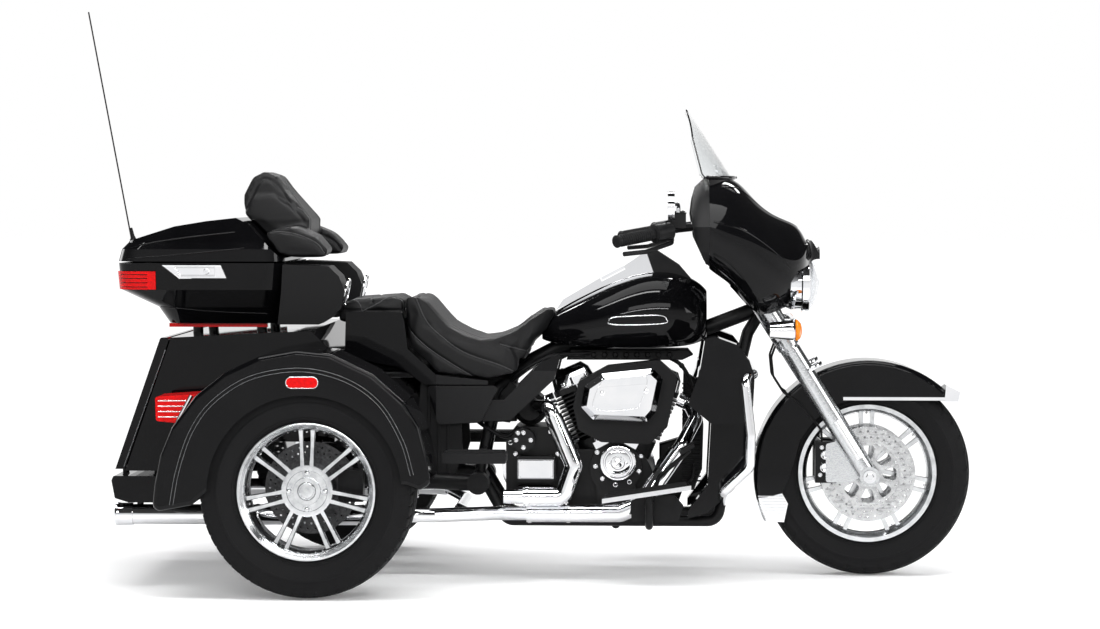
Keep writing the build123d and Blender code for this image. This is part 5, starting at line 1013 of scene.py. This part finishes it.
seat_lines = []
back_lines = []
for side in (-1, 1):
    for line in SEAT_SEAMS:
        seat_lines.append((("rider_cover",), (0, -side, 0), [(x, side * 500, z) for x, z in line], False))
    seat_lines.append(
        (
            ("rider_cover",), (0, 0, -1),
            [(400, side * 118, 1100), (520, side * 122, 1100), (634, side * 104, 1100)], False
        )
    )
    back_lines.append(
        (("backrest_cover",), (0, -side, 0),
         [(x, side * 500, z) for x, z in ((-160, 1086), (-80, 1078), (-12, 1050), (14, 1018))], False)
    )
    back_lines.append(
        (("backrest_cover",), (-1, 0, 0), [(300, side * 120, 1040), (300, side * 112, 1120),
            (300, side * 66, 1205),
                                          (300, side * 20, 1240)], False)
    )
seat_lines.append(
    (("passenger_cover",), (0, 0, -1),
     [(62, -140, 1100), (62, 140, 1100), (225, 140, 1100), (225, -140, 1100)], True)
)
piping("seat_piping", "chassis", seat_lines, SEAT_THREAD, 4.0, 1.6)
piping("backrest_piping", "box_lid", back_lines, SEAT_THREAD, 4.0, 1.6)


# Body trim

def ring_on(piece, found, profile, slot=0, steps=48):
    """A turned shape standing on a surface where a ray met it; offsets run outward."""
    if not found:
        return
    place, normal = found[0]
    piece.lathe(profile, tuple(place), normal, steps, slot, closed=False)


def spot(x, y, z, names, toward):
    return lay([(x, y, z)], names, toward, smooth=False)


FENDER_PIN = [(-398, 285), (-378, 389), (-336, 507), (-270, 595), (-158, 666), (-10, 690), (122, 661),
    (224, 591),
              (292, 480), (323, 377)]
stripes = Piece("fender_stripes", "chassis", "black_paint", PINSTRIPE, BLACK_PAINT)
for name, side in SIDE_SIGNS:
    for scale in (1.0, 0.972):
        line = [(-20 + (x + 20) * scale, 300 + (z - 300) * scale) for x, z in FENDER_PIN]
        stripes.strip(lay_side(line, ("rear_fender_" + name,), side, 8), 1.6, 0.4)
    for line in (
        [(-455, 728), (-584, 372)], [(-578, 352), (-450, 352)],
    ):
        stripes.strip(lay_side(line, ("trunk", "trunk_door"), side, 8, smooth=False), 3.0, 1.2, 1)
stripes.done(shade=60)

marks = Piece("marker_frames", "chassis", "chrome", CHROME, MATTE_BLACK_AND_GAP_SHADE, RED_LENS)
for name, side in SIDE_SIGNS:
    pill = [(-5 + a, side * 697.2, 647.5 + b) for a, b in round_outline(47, 16.4, 15.5)]
    marks.tube(pill, 1.5, 0, 8, closed=True, smooth=False)
    for level in (540, 556, 572, 588):
        marks.strip(
            lay_side(
                [(-442, level), (-372 + (level - 540) * 0.4, level)], ("fender_lamps",), side, 8,
                smooth=False
            ),
            3.0, 0.8, 1,
        )
    marks.strip(
        lay_side([(-342, 604), (-384, 526)], ("fender_lamps", "rear_fender_" + name), side, 5, smooth=False),
        13, 3.5, 0,
    )
    marks.strip(
        lay_side([(-452, 602), (-342, 611)], ("fender_lamps", "rear_fender_" + name), side, 5, smooth=False),
        4, 1.6, 0
    )
marks.done(shade=50)

latch = Piece("box_latch", "chassis", "chrome", CHROME, MATTE_BLACK_AND_GAP_SHADE, BLACK_PLASTIC)
found = lay_side([(-392, 960)], ("tour_box",), RIGHT, smooth=False)
latch_y = found[0][0].y if found else -311
latch.plate([(-486, 981), (-302, 981), (-284, 940), (-432, 940)], latch_y + 0.5, latch_y - 3.5, "Y", 1.6)
latch.plate(
    [(-444, 974), (-322, 974), (-322, 950), (-426, 950)], latch_y - 3.2, latch_y - 5.2, "Y", 1.2, 0,
    face_slot=0
)
# The dark outline is painted shade in the groove round the latch handle
latch.tube([(-448, latch_y - 3.8, 977), (-318, latch_y - 3.8, 977), (-318, latch_y - 3.8, 947),
            (-430, latch_y - 3.8, 947)], 0.8, 1, 6, closed=True, smooth=False)
latch.lathe([(9, -3), (9, -6), (7.5, -7.5), (3, -7.5), (3, -5.5), (0, -5.5)], (-347, latch_y, 962), "Y", 32,
    0,
            closed=False)
latch.plate([(-348, 967), (-346, 967), (-346, 957), (-348, 957)], latch_y - 5, latch_y - 7.9, "Y", 0.3, 1)
latch.done(shade=30)

lid_lines = Piece("lid_lines", "box_lid", "black_paint", BLACK_PAINT)
box_lines = Piece("box_lines", "chassis", "black_paint", BLACK_PAINT, RED_LENS, MATTE_BLACK_AND_GAP_SHADE)
for side in (-1, 1):
    lid_lines.strip(
        lay_side([(-590, 1034), (-521, 1049), (-400, 1067), (-262, 1082)], ("tour_lid",), side, 8), 5, 1.8
    )
    lid_lines.strip(
        lay_side([(-596, 1001), (-450, 1012), (-300, 1026), (-232, 1034)], ("tour_lid",), side, 8), 4, 1.4
    )
    box_lines.strip(lay_side([(-500, 852), (-330, 836), (-170, 830)], ("tour_box",), side, 8), 5, 1.6)
    for level in (914, 927, 940, 952):
        box_lines.strip(
            lay_side([(-616, level), (-530, level)], ("tail_lamps",), side, 8, smooth=False), 2.2, 0.8, 2
        )
lid_lines.done(shade=60)
box_lines.done(shade=60)

speakers = Piece("speaker_rings", "chassis", "chrome", CHROME, MATTE_BLACK_AND_GAP_SHADE, BLACK_PLASTIC)
for side in (-1, 1):
    found = spot(400, side * 262, 896, ("speaker_pods",), (-1, 0, 0))
    if found:
        ring_on(speakers, found, [(46, -1), (46, 3), (43, 5), (39, 5), (37, 1.5)], 0, 64)
        ring_on(speakers, found, [(38, 0.8), (30, 2.6), (14, 4.2), (0, 4.6)], 2, 64)
        for radius in (10, 17, 24, 31):
            ring_on(
                speakers, found,
                [(radius - 1, 4.9 - radius * 0.06), (radius, 5.6 - radius * 0.06),
                    (radius + 1, 4.9 - radius * 0.06)], 1, 48,
            )
speakers.done(shade=40)


# Fork, front fender, headlamp and signals

AMBER_PLACE = [(1588, 496), (1661, 379)]
fork_trim = Piece("fork_trim", "steering", "chrome", CHROME, AMBER_LENS, MATTE_BLACK_AND_GAP_SHADE, STEEL)
slide = (at(1687, 0, 344) - at(1475, 0, 732)).normalized()
for side in (-1, 1):
    fork_trim.strip(lay_side(AMBER_PLACE, ("fork",), side, 4, smooth=False), 19, 4.0, 0, 12)
    fork_trim.strip(
        [
            (place + normal * 2.0, normal) for place,
            normal in lay_side(AMBER_PLACE, ("fork",), side, 4, smooth=False)
        ],
        14, 4.0, 1, 12,
    )
    collar = (1516, side * 122, 660)
    fork_trim.lathe([(24.8, -6), (33, -6), (34, -3), (34, 3), (33, 6), (24.8, 6)], collar, slide, 48, 0)
    fork_trim.lathe(
        [(13, side * 163), (13, side * 168), (11, side * 170), (0, side * 170)], FRONT_CENTRE, "Y", 6, 0,
        closed=False,
    )
    for x, z in ((1548, 408), (1576, 402), (1543, 322), (1572, 318)):
        ring_on(
            fork_trim, lay_side([(x, z)], ("front_calipers",), side, smooth=False),
            [(6.5, 0), (6.5, 1.2), (5, 1.2), (5, 5), (4, 6), (2.2, 6), (2.2, 3.2), (0, 3.2)], 3, 16,
        )
    for x, z, radius in ((1560, 385, 15), (1558, 345, 15)):
        ring_on(
            fork_trim, lay_side([(x, z)], ("front_calipers",), side, smooth=False),
            [(radius, 0), (radius, 1.6), (radius - 2, 2.4), (radius - 4, 1.0), (0, 1.0)], 3, 32,
        )
    for level in range(182, 256, 9):
        fork_trim.strip(
            lay_side([(1350, level), (1436, level)], ("front_trim", "front_fender"), side, 6, smooth=False),
            3.4, 1.4, 2, 6
        )
fork_trim.done(shade=40)

lamp = Piece("headlamp_glass", "steering", "chrome", CLEAR_LENS, CHROME, MATTE_BLACK_AND_GAP_SHADE)
lamp.lathe(
    [(82.5, 1510), (80.5, 1513.5), (66, 1521.5), (44, 1530.8), (22, 1537.0), (0, 1538.9)], (0, 0, 920), "X",
    96, 0,
    closed=False,
)
# The dark ring is painted shade in the seam between the glass and its bezel
lamp.lathe(
    [(82.2, 1509), (84.5, 1511.5), (82.5, 1513.8), (80.2, 1513.4), (80.2, 1509)], (0, 0, 920), "X", 96, 2,
)
bar = lay([(1700, 0, z) for z in range(846, 996, 8)], ("headlamp",), (-1, 0, 0), smooth=False)
lamp.strip(bar, 5, 3.0, 1)
lamp.done(shade=50)

signals = Piece("signal_lenses", "steering", "chrome", AMBER_LENS, CHROME)
for side in (-1, 1):
    signals.lathe(
        [(30.5, 1464), (29, 1468), (22, 1474), (11, 1477.5), (0, 1478.5)], (0, side * 232, 781), "X", 64, 0,
        closed=False,
    )
    signals.lathe(
        [(31.6, 1458), (32.6, 1461), (32.4, 1465), (30.4, 1466), (29, 1463)], (0, side * 232, 781), "X", 64,
        1
    )
signals.done(shade=50)

skin = Piece("fairing_lines", "steering", "black_paint", BLACK_PAINT, BLACK_PLASTIC, CHROME, MATTE_BLACK_AND_GAP_SHADE)
for side in (-1, 1):
    skin.strip(
        lay_side([(1205, 1116), (1300, 1088), (1390, 1026), (1440, 975)], ("fairing",), side, 8), 9, 1.8
    )
    skin.strip(
        lay_side([(1204, 1020), (1250, 992), (1300, 940), (1345, 872)], ("fairing",), side, 8), 7, 1.4
    )
    skin.strip(
        lay([(1230, side * 230, 1500), (1300, side * 170, 1500), (1380, side * 110, 1500),
            (1470, side * 40, 1500)],
            ("fairing",), (0, 0, -1), 8), 8, 1.6,
    )
    for level in range(3):
        skin.strip(
            lay_side([(1232 + level * 9, 1226 - level * 4), (1262 + level * 9, 1208 - level * 4)],
                ("fairing",), side, 5,
                     smooth=False), 3.4, 1.0, 3,
        )
base_line = [(1187, -231, 1250), (1236, -150, 1250), (1275, 0, 1250), (1236, 150, 1250), (1187, 231, 1250)]
skin.tube(base_line, 6.0, 1, 10)
for y, x in ((-190, 1218), (-100, 1262), (0, 1280), (100, 1262), (190, 1218)):
    skin.bolt((x, y, 1251), "X", 3.4, 3.0, 2, 12)
skin.done(shade=50)


# Dials, grips, switch buttons and reservoir lids

dash = Piece("dials", "steering", "black_plastic", BLACK_PLASTIC, CHROME, MATTE_BLACK_AND_GAP_SHADE, PINSTRIPE, STEEL)
# Half spacing, height and radius of each dial and speaker
DIALS = [(62, 1128, 46), (158, 1140, 27), (262, 1120, 62), (150, 1070, 22)]
for side in (-1, 1):
    for y, z, radius in DIALS:
        found = spot(800, side * y, z, ("fairing_inner",), (1, 0, 0))
        ring_on(
            dash, found, [(radius, -2), (radius, 4), (radius - 2, 6.5), (radius - 5, 6.5), (radius - 6, 3)],
            1, 64
        )
        ring_on(dash, found, [(radius - 6, 2.6), (radius - 12, 3.2), (0, 3.2)], 2, 64)
        if found and radius < 60:
            place, normal = found[0]
            up = Vector((0, 0, 1))
            level = up.cross(normal).normalized()
            for tick in range(9):
                angle = math.radians(-130 + 32.5 * tick)
                out = level * math.sin(angle) + up * math.cos(angle)
                first = place + normal * 3.5 + out * (radius - 9)
                dash.strip([(first, normal), (first - out * 5, normal)], 1.6, 0.5, 3, 4)
            needle = level * -0.75 + up * 0.66
            dash.strip(
                [(place + normal * 4.2, normal), (place + normal * 4.2 + needle * (radius - 14), normal)],
                2.2, 1, 4, 4
            )
        if radius > 60:
            for ring in (14, 24, 34, 44):
                ring_on(dash, found, [(ring - 1, 3.4), (ring, 4.4), (ring + 1, 3.4)], 0, 48)
dash.done(shade=40)

BAR_INNER = Vector((WHEELBASE - 618, 335, 1088))
BAR_OUTER = Vector((WHEELBASE - 776, 462, 1058))
bar_run = (BAR_OUTER - BAR_INNER).normalized()
grips = Piece("grip_ribs", "steering", "black_plastic", RUBBER, CHROME, BLACK_PLASTIC)
for side in (-1, 1):
    length = (BAR_OUTER - BAR_INNER).length
    axis = Vector((bar_run.x, bar_run.y * side, bar_run.z))
    reach = 74.0
    while reach < length - 4:
        place = BAR_INNER + bar_run * reach
        grips.lathe(
            [(16.4, -3.2), (18.2, -2.4), (18.8, 0), (18.2, 2.4), (16.4, 3.2)], (
                place.x, side * place.y, place.z
            ),
            axis, 32, 0,
        )
        reach += 8.0
    end = BAR_INNER + bar_run * (length + 6.5)
    grips.lathe([(17, -6), (19, -5), (19.5, 0), (17, 3), (0, 3.6)], (end.x, side * end.y, end.z), axis, 32,
        1,
                closed=False)
    cuff = BAR_INNER + bar_run * 65
    grips.lathe(
        [(17, -3), (27, -3), (28.5, 0), (24, 5), (17, 6)], (cuff.x, side * cuff.y, cuff.z), axis, 40, 2
    )
    for shift in (14, 30, 46):
        place = BAR_INNER + bar_run * shift
        centre = Vector((place.x, side * place.y, place.z)) + Vector((-0.8, 0, 0.35)).normalized() * 25
        grips.lathe([(6.5, 0), (6.5, 3), (5, 5), (0, 5.4)], tuple(centre),
            Vector((-0.8, 0, 0.35)).normalized(), 20, 2,
                    closed=False)
    reservoir = (WHEELBASE - 595, side * 300)
    grips.plate(round_outline(25, 35, 8), 0, 3.0, "Z", 1.2, 1, centre=(*reservoir, 1140.0))
    for a, b in ((-17, -26), (17, 26)):
        grips.bolt((reservoir[0] + a, reservoir[1] + b, 1142.4), "Z", 2.6, 2.4, 1)
grips.done(shade=40)


# Engine, exhaust and boards

engine = Piece("engine_trim", "chassis", "chrome", CHROME, STEEL, MATTE_BLACK_AND_GAP_SHADE, MACHINED)
CAM = (912, -155, 364)
engine.lathe(
    [(56, 0.5), (56, -1.5), (53, -3.5), (46, -3.5), (44, -1.0), (40, -1.0), (38, -4.5), (30, -6.5),
        (22, -6.5),
     (20, -4.5), (8, -4.5), (6, -6.0), (0, -6.0)],
    CAM, "Y", 96, [0, 0, 0, 0, 2, 0, 0, 0, 0, 0, 0, 0], closed=False,
)
for x in (-27, 27):
    engine.lathe([(4.6, -5), (4.6, -8.5), (3.6, -9.2), (0, -9.2)], (CAM[0] + x, CAM[1], CAM[2]), "Y", 20, 1,
                 closed=False)
# The dark bars are painted shade in the cam cover's slots
for z in (-15, 15):
    engine.plate(
        [(CAM[0] - 11, CAM[2] + z - 2), (CAM[0] + 11, CAM[2] + z - 2), (CAM[0] + 11, CAM[2] + z + 2),
         (CAM[0] - 11, CAM[2] + z + 2)], CAM[1] - 5.4, CAM[1] - 7.3, "Y", 0.3, 2,
    )
BOLT = [(7.0, -1), (7.0, 1.0), (5.4, 1.2), (5.4, 5.2), (4.4, 6.2), (2.4, 6.2), (2.4, 3.4), (0, 3.4)]
for a, b in ring_points(72, 10, 0.2):
    ring_on(engine, lay_side([(912 + a, 364 + b)], ("crankcase",), RIGHT, smooth=False), BOLT, 1, 16)
for x, z in ((574, 262), (574, 420), (735, 420), (735, 252), (600, 455), (700, 455), (590, 385), (722, 385),
             (640, 433), (594, 433), (617, 410), (617, 456)):
    ring_on(engine, lay_side([(x, z)], ("transmission",), RIGHT, smooth=False), BOLT, 1, 16)
for x, z in ((726, 650), (838, 655), (972, 655), (1086, 645), (736, 600), (1076, 600)):
    for side in (-1, 1):
        ring_on(engine, lay_side([(x, z)], ("rocker_boxes",), side, smooth=False), BOLT, 0, 16)
engine.plate(
    [(600, 312), (600, 372), (712, 372), (712, 312)], -149.5, -154, "Y", 3.0, 0,
)
engine.plate(
    [(x, z) for x, z in round_outline(54, 13, 12, (654, 268))], -149.5, -153.5, "Y", 1.6, 0,
)
engine.plate([(x, z) for x, z in round_outline(44, 7, 6, (654, 268))], -153.2, -154.6, "Y", 0.6, 2)
for x, z in ((606, 318), (606, 366), (706, 366), (706, 318)):
    engine.bolt((x, -153.6, z), "Y", 3.4, -3.0, 1)
FACE_LINE = [(824, 528), (850, 632), (870, 650), (1000, 660), (1026, 632), (1000, 552), (976, 528)]
inner_face = [(913 + (x - 913) * 0.80, 590 + (z - 590) * 0.78) for x, z in FACE_LINE]
# The dark loop is painted shade in the groove round the air cleaner's face
engine.strip(lay_side(inner_face, ("air_cleaner",), RIGHT, 5, closed=True), 2.2, 0.6, 2)
for x, z in ((866, 590), (1000, 596)):
    ring_on(engine, lay_side([(x, z)], ("air_cleaner",), RIGHT, smooth=False),
            [(7, -1), (7, 1.2), (5.5, 2.2), (2.6, 2.2), (2.6, 1), (0, 1)], 1, 24)
for a, b in ring_points(1, 12):
    ring_on(
        engine, lay_side([(781 + a * 205, 325 + b * 95)], ("primary_cover",), 1, smooth=False), BOLT, 1, 16
    )
engine.done(shade=40)

pipes = Piece("pipe_clamps", "chassis", "chrome", CHROME, STEEL, MATTE_BLACK_AND_GAP_SHADE)
for x, y, z, radius in (
    (640, -211.4, 212, 28.6), (760, -207.5, 212, 28.6), (632, -226.5, 264, 28.6), (236, -392, 224, 31.4),
    (236, 392, 224, 31.4), (196, -392, 224, 31.4), (-180, -392, 224, 31.4), (-180, 392, 224, 31.4),
):
    pipes.lathe(
        [(radius - 1, -6), (radius + 1.2, -6), (radius + 1.8, -4.6), (radius + 1.8, 4.6), (radius + 1.2, 6),
         (radius - 1, 6)], (x, y, z), "X", 64, 0,
    )
    turn = -1 if y < 0 else 1
    pipes.bolt((x, y + turn * (radius + 1.2), z), "Y", 3.2, turn * 4.0, 1)
for side in (-1, 1):
    pipes.lathe(
        [(35.2, -600), (35.8, -606), (35.8, -612.6), (34.6, -614), (31.5, -612), (31.5, -596)],
        (0, side * 392, 224), "X", 80, 0,
    )
pipes.done(shade=40)

treads = Piece("board_treads", "chassis", "tyre", RUBBER, CHROME)
for side in (-1, 1):
    for row in range(9):
        y = side * (282 + row * 12.4)
        found = lay([(x, y, 700) for x in range(884, 1126, 8)], ("footboards",), (0, 0, -1), smooth=False)
        if len(found) > 3:
            treads.strip(found, 8.6, 4.4, 0, 8)
    for row in range(6):
        y = side * (336 + row * 12.6)
        found = lay([(x, y, 700) for x in range(396, 586, 8)], ("footboards",), (0, 0, -1), smooth=False)
        if len(found) > 3:
            treads.strip(found, 8.6, 4.4, 0, 8)
    found = lay(
        [(1108 + i * 4, side * 290, 700) for i in range(9)], ("foot_controls",), (0, 0, -1), smooth=False
    )
    if len(found) > 3:
        treads.strip(found, 52, 3.4, 0, 10)
treads.done(shade=50)

door = Piece("door_furniture", "trunk_door", "chrome", CHROME, MATTE_BLACK_AND_GAP_SHADE, BLACK_PLASTIC)
ring_on(door, spot(-1200, 0, 700, ("trunk_door",), (1, 0, 0)),
        [(15, -1), (15, 3), (12.5, 5.5), (6, 5.5), (6, 3.5), (0, 3.5)], 0, 40)
# The dark strips are painted shade in the seam round the trunk door
for y0, y1, z0, z1 in (
    (-330, 330, 640, 640), (-330, 330, 452, 452), (-330, -330, 452, 640), (330, 330, 452, 640)
):
    line = [(-1200, y0 + (y1 - y0) * i / 20, z0 + (z1 - z0) * i / 20) for i in range(21)]
    door.strip(lay(line, ("trunk_door",), (1, 0, 0), smooth=False), 4.0, 1.2, 1)
door.done(shade=40)

mast = Piece("antenna_base", "chassis", "satin_black", SATIN_BLACK, CHROME)
mast.lathe([(9.5, 0), (9.5, 14), (6.5, 22), (4.6, 46), (3.6, 50), (0, 50)], (-671, 220, 1040),
           (at(-813, 0, 1788) - at(-671, 0, 1049)).normalized(), 32, 0, closed=False)
mast.done(shade=40)

tank_trim = Piece("tank_trim", "chassis", "chrome", CHROME, STEEL, MATTE_BLACK_AND_GAP_SHADE)
for side in (-1, 1):
    badge = [(884, 806), (906, 818), (1036, 824), (1062, 812), (1050, 798), (900, 794)]
    tank_trim.strip(lay_side(badge, ("fuel_tank",), side, 5, closed=True), 3.0, 1.2, 0)
tank_trim.done(shade=50)


# Dark works behind the engine and under the body, seen between the main parts

works = Piece("inner_works", "chassis", "black_plastic", BLACK_PLASTIC, BLACK_ENGINE, STEEL)
works.plate([(424, 478), (424, 628), (556, 628), (592, 596), (592, 486)], -84, 84, "Y", 5, 0)
for level in range(500, 620, 16):
    for side in (-1, 1):
        works.plate(
            [(440, level), (548, level), (548, level + 7), (440, level + 7)], side * 83, side * 88, "Y", 1.5,
            0
        )
works.lathe(
    [
        (0, -92), (34, -92), (38, -88), (40, -60), (52, -56), (54, 0), (52, 56), (40, 60), (38, 88),
        (34, 92), (0, 92)
    ],
    (634, 0, 524), "Y", 64, 1, closed=False,
)
works.plate([(748, 678), (1112, 678), (1146, 694), (1130, 712), (760, 712)], -52, 52, "Y", 4, 0)
for x in range(800, 1100, 34):
    for side in (-1, 1):
        works.lathe(
            [(9, side * 51), (9, side * 58), (6, side * 61), (0, side * 61)], (x, 0, 695), "Y", 24, 1,
            closed=False
        )
works.plate([(1040, 262), (1150, 262), (1176, 330), (1180, 470), (1164, 610), (1116, 640), (1112, 430),
    (1040, 408)],
            6, 70, "Y", 6, 1)
for level in range(290, 600, 14):
    works.plate([(1112, level), (1172, level), (1172, level + 5), (1112, level + 5)], 5, -2, "Y", 1.2, 1)
for side in (-1, 1):
    works.plate([(296, 286), (286, 470), (300, 640), (400, 640), (424, 520), (430, 400), (400, 300)],
                side * 170, side * 176, "Y", 2, 0)
    for x in (320, 350, 380):
        works.plate([(x, 330), (x + 10, 330), (x + 10, 600), (x, 600)], side * 175, side * 180, "Y", 2, 0)
HOSES = [
    [(560, -60, 600), (600, -96, 640), (700, -80, 690), (820, -58, 700)],
    [(592, -70, 560), (660, -92, 600), (690, -84, 660), (760, -56, 700)],
    [(1060, -20, 690), (1110, -40, 660), (1140, -30, 600), (1150, 0, 520), (1130, 10, 430)],
    [(1020, -62, 300), (1080, -40, 270), (1140, -10, 300), (1150, 20, 380)],
    [(430, -90, 520), (500, -120, 470), (560, -104, 440), (600, -96, 470)],
    [(560, 60, 600), (600, 96, 640), (700, 80, 690), (820, 58, 700)],
]
for hose in HOSES:
    works.tube(hose, 6.5, 0, 12)
    works.lathe(
        [(6, -5), (8.4, -5), (8.4, 5), (6, 5)], hose[1], (Vector(hose[2]) - Vector(hose[0])).normalized(),
        24, 2
    )
works.done(shade=40)


# Floor, light and camera

CAMERA_PLACE = Vector((0.4624, -8.9205, 1.2078))
CAMERA_YAW = 0.0412
CAMERA_PITCH = 0.0436
CAMERA_LENS = 92.476


def make_camera():
    """The photograph's viewing angle: a long lens from the right, slightly above the wheels."""
    level = math.cos(CAMERA_PITCH)
    ahead = Vector((-math.sin(CAMERA_YAW) * level, math.cos(CAMERA_YAW) * level, -math.sin(CAMERA_PITCH)))
    right = Vector((math.cos(CAMERA_YAW), math.sin(CAMERA_YAW), 0))
    up = right.cross(ahead)
    data = bpy.data.cameras.new("camera")
    data.sensor_fit = "HORIZONTAL"
    data.sensor_width = 36.0
    data.lens = CAMERA_LENS
    camera = bpy.data.objects.new("camera", data)
    bpy.context.scene.collection.objects.link(camera)
    camera.matrix_world = Matrix(
        (
            (right.x, up.x, -ahead.x, CAMERA_PLACE.x),
            (right.y, up.y, -ahead.y, CAMERA_PLACE.y),
            (right.z, up.z, -ahead.z, CAMERA_PLACE.z),
            (0, 0, 0, 1),
        )
    )
    bpy.context.scene.camera = camera


def seen_directly(tree):
    """1 for rays from the camera, off glossy surfaces and through clear ones."""
    path = tree.nodes.new("ShaderNodeLightPath")
    first = math_node(tree, "MAXIMUM", path.outputs["Is Camera Ray"], path.outputs["Is Transmission Ray"])
    return math_node(tree, "MAXIMUM", first, path.outputs["Is Glossy Ray"])


FLOOR_SIZE = 60
SHADOW_REACH = (1.6, 3.4)    # metres from the middle over which the floor turns plain white


def make_floor():
    mesh = bpy.data.meshes.new("floor")
    size = FLOOR_SIZE
    mesh.from_pydata(
        [(-size, -size, 0), (size, -size, 0), (size, size, 0), (-size, size, 0)], [], [(0, 1, 2, 3)]
    )
    floor = bpy.data.objects.new("floor", mesh)
    bpy.context.scene.collection.objects.link(floor)
    material, tree, shader = new_material("pale_floor")
    shader.inputs["Roughness"].default_value = 0.7
    shader.inputs["Specular IOR Level"].default_value = 0.1
    noise = object_noise(tree, 3)
    factor = map_range(tree, noise.outputs["Fac"], 0, 1)
    tree.links.new(
        colour_mix(tree, factor, (0.90, 0.90, 0.90), (0.92, 0.92, 0.92)), shader.inputs["Base Color"]
    )
    glow = add_node(tree, "ShaderNodeEmission", Strength=1.0)
    glow.inputs["Color"].default_value = (1, 1, 1, 1)
    axes = object_axes(tree)
    stretched = math_node(tree, "MULTIPLY", axes[0], 0.72)
    far = math_node(
        tree, "SQRT",
        math_node(
            tree, "ADD", math_node(tree, "MULTIPLY", stretched, stretched), math_node(
                tree, "MULTIPLY", axes[1], axes[1]
            )
        ),
    )
    reach = map_range(tree, far, 0.0, 1.0, *SHADOW_REACH)
    blend = tree.nodes.new("ShaderNodeMixShader")
    tree.links.new(math_node(tree, "MULTIPLY", reach, seen_directly(tree)), blend.inputs["Fac"])
    tree.links.new(shader.outputs[0], blend.inputs[1])
    tree.links.new(glow.outputs[0], blend.inputs[2])
    lift = add_node(tree, "ShaderNodeEmission", Strength=1.0)
    tree.links.new(
        colour_mix(tree, seen_directly(tree), (0.0, 0.0, 0.0), (0.14, 0.14, 0.14)), lift.inputs["Color"]
    )
    total = tree.nodes.new("ShaderNodeAddShader")
    tree.links.new(blend.outputs[0], total.inputs[0])
    tree.links.new(lift.outputs[0], total.inputs[1])
    tree.links.new(total.outputs[0], tree.nodes["Material Output"].inputs["Surface"])
    mesh.materials.append(material)


def area_lamp(name, place, target, size, size_y, power):
    data = bpy.data.lights.new(name, "AREA")
    data.shape = "RECTANGLE"
    data.size = size
    data.size_y = size_y
    data.energy = power
    lamp = bpy.data.objects.new(name, data)
    bpy.context.scene.collection.objects.link(lamp)
    aim = Vector(target) - Vector(place)
    lamp.location = place
    lamp.rotation_euler = aim.to_track_quat("-Z", "Y").to_euler()


# Name, place, aim, two sizes in metres, and watts
LAMPS = [
    ("top", (0, -0.4, 4.6), (0, 0, 0.4), 5.0, 2.0, 120),
    ("top_strip", (0, -1.6, 3.8), (0, 0, 0.5), 4.6, 0.22, 90),
    ("near_side", (0.6, -6.0, 3.4), (0, 0, 0.5), 5.0, 1.2, 90),
    ("near_strip", (0.3, -5.2, 2.1), (0, 0, 0.5), 4.2, 0.12, 60),
    ("far_strip", (0, 3.0, 3.2), (0, 0, 0.5), 4.6, 0.3, 80),
    ("front", (5.5, -2.5, 2.6), (0, 0, 0.6), 2.4, 2.4, 110),
    ("back", (-5.5, 2.5, 2.8), (0, 0, 0.6), 2.4, 2.4, 110),
]


def make_light():
    world = bpy.data.worlds.new("studio")
    bpy.context.scene.world = world
    world.use_nodes = True
    tree = world.node_tree
    background = tree.nodes["Background"]
    background.inputs["Strength"].default_value = 1.0
    mix = tree.nodes.new("ShaderNodeMix")
    mix.data_type = "RGBA"
    mix.inputs["A"].default_value = (0.30, 0.30, 0.31, 1)
    height = object_axes(tree, "Generated")[2]
    path = tree.nodes.new("ShaderNodeLightPath")
    ceiling = math_node(
        tree, "MAXIMUM", map_range(tree, height, 1.0, 0.04, 0.10, 0.30), path.outputs["Is Camera Ray"]
    )
    white = tree.nodes.new("ShaderNodeCombineColor")
    for socket in white.inputs[:3]:
        tree.links.new(ceiling, socket)
    tree.links.new(white.outputs[0], mix.inputs["B"])
    tree.links.new(seen_directly(tree), mix.inputs["Factor"])
    tree.links.new(mix.outputs["Result"], background.inputs["Color"])
    for lamp in LAMPS:
        area_lamp(*lamp)


make_camera()
make_floor()
make_light()
bpy.context.scene.view_settings.view_transform = "Standard"
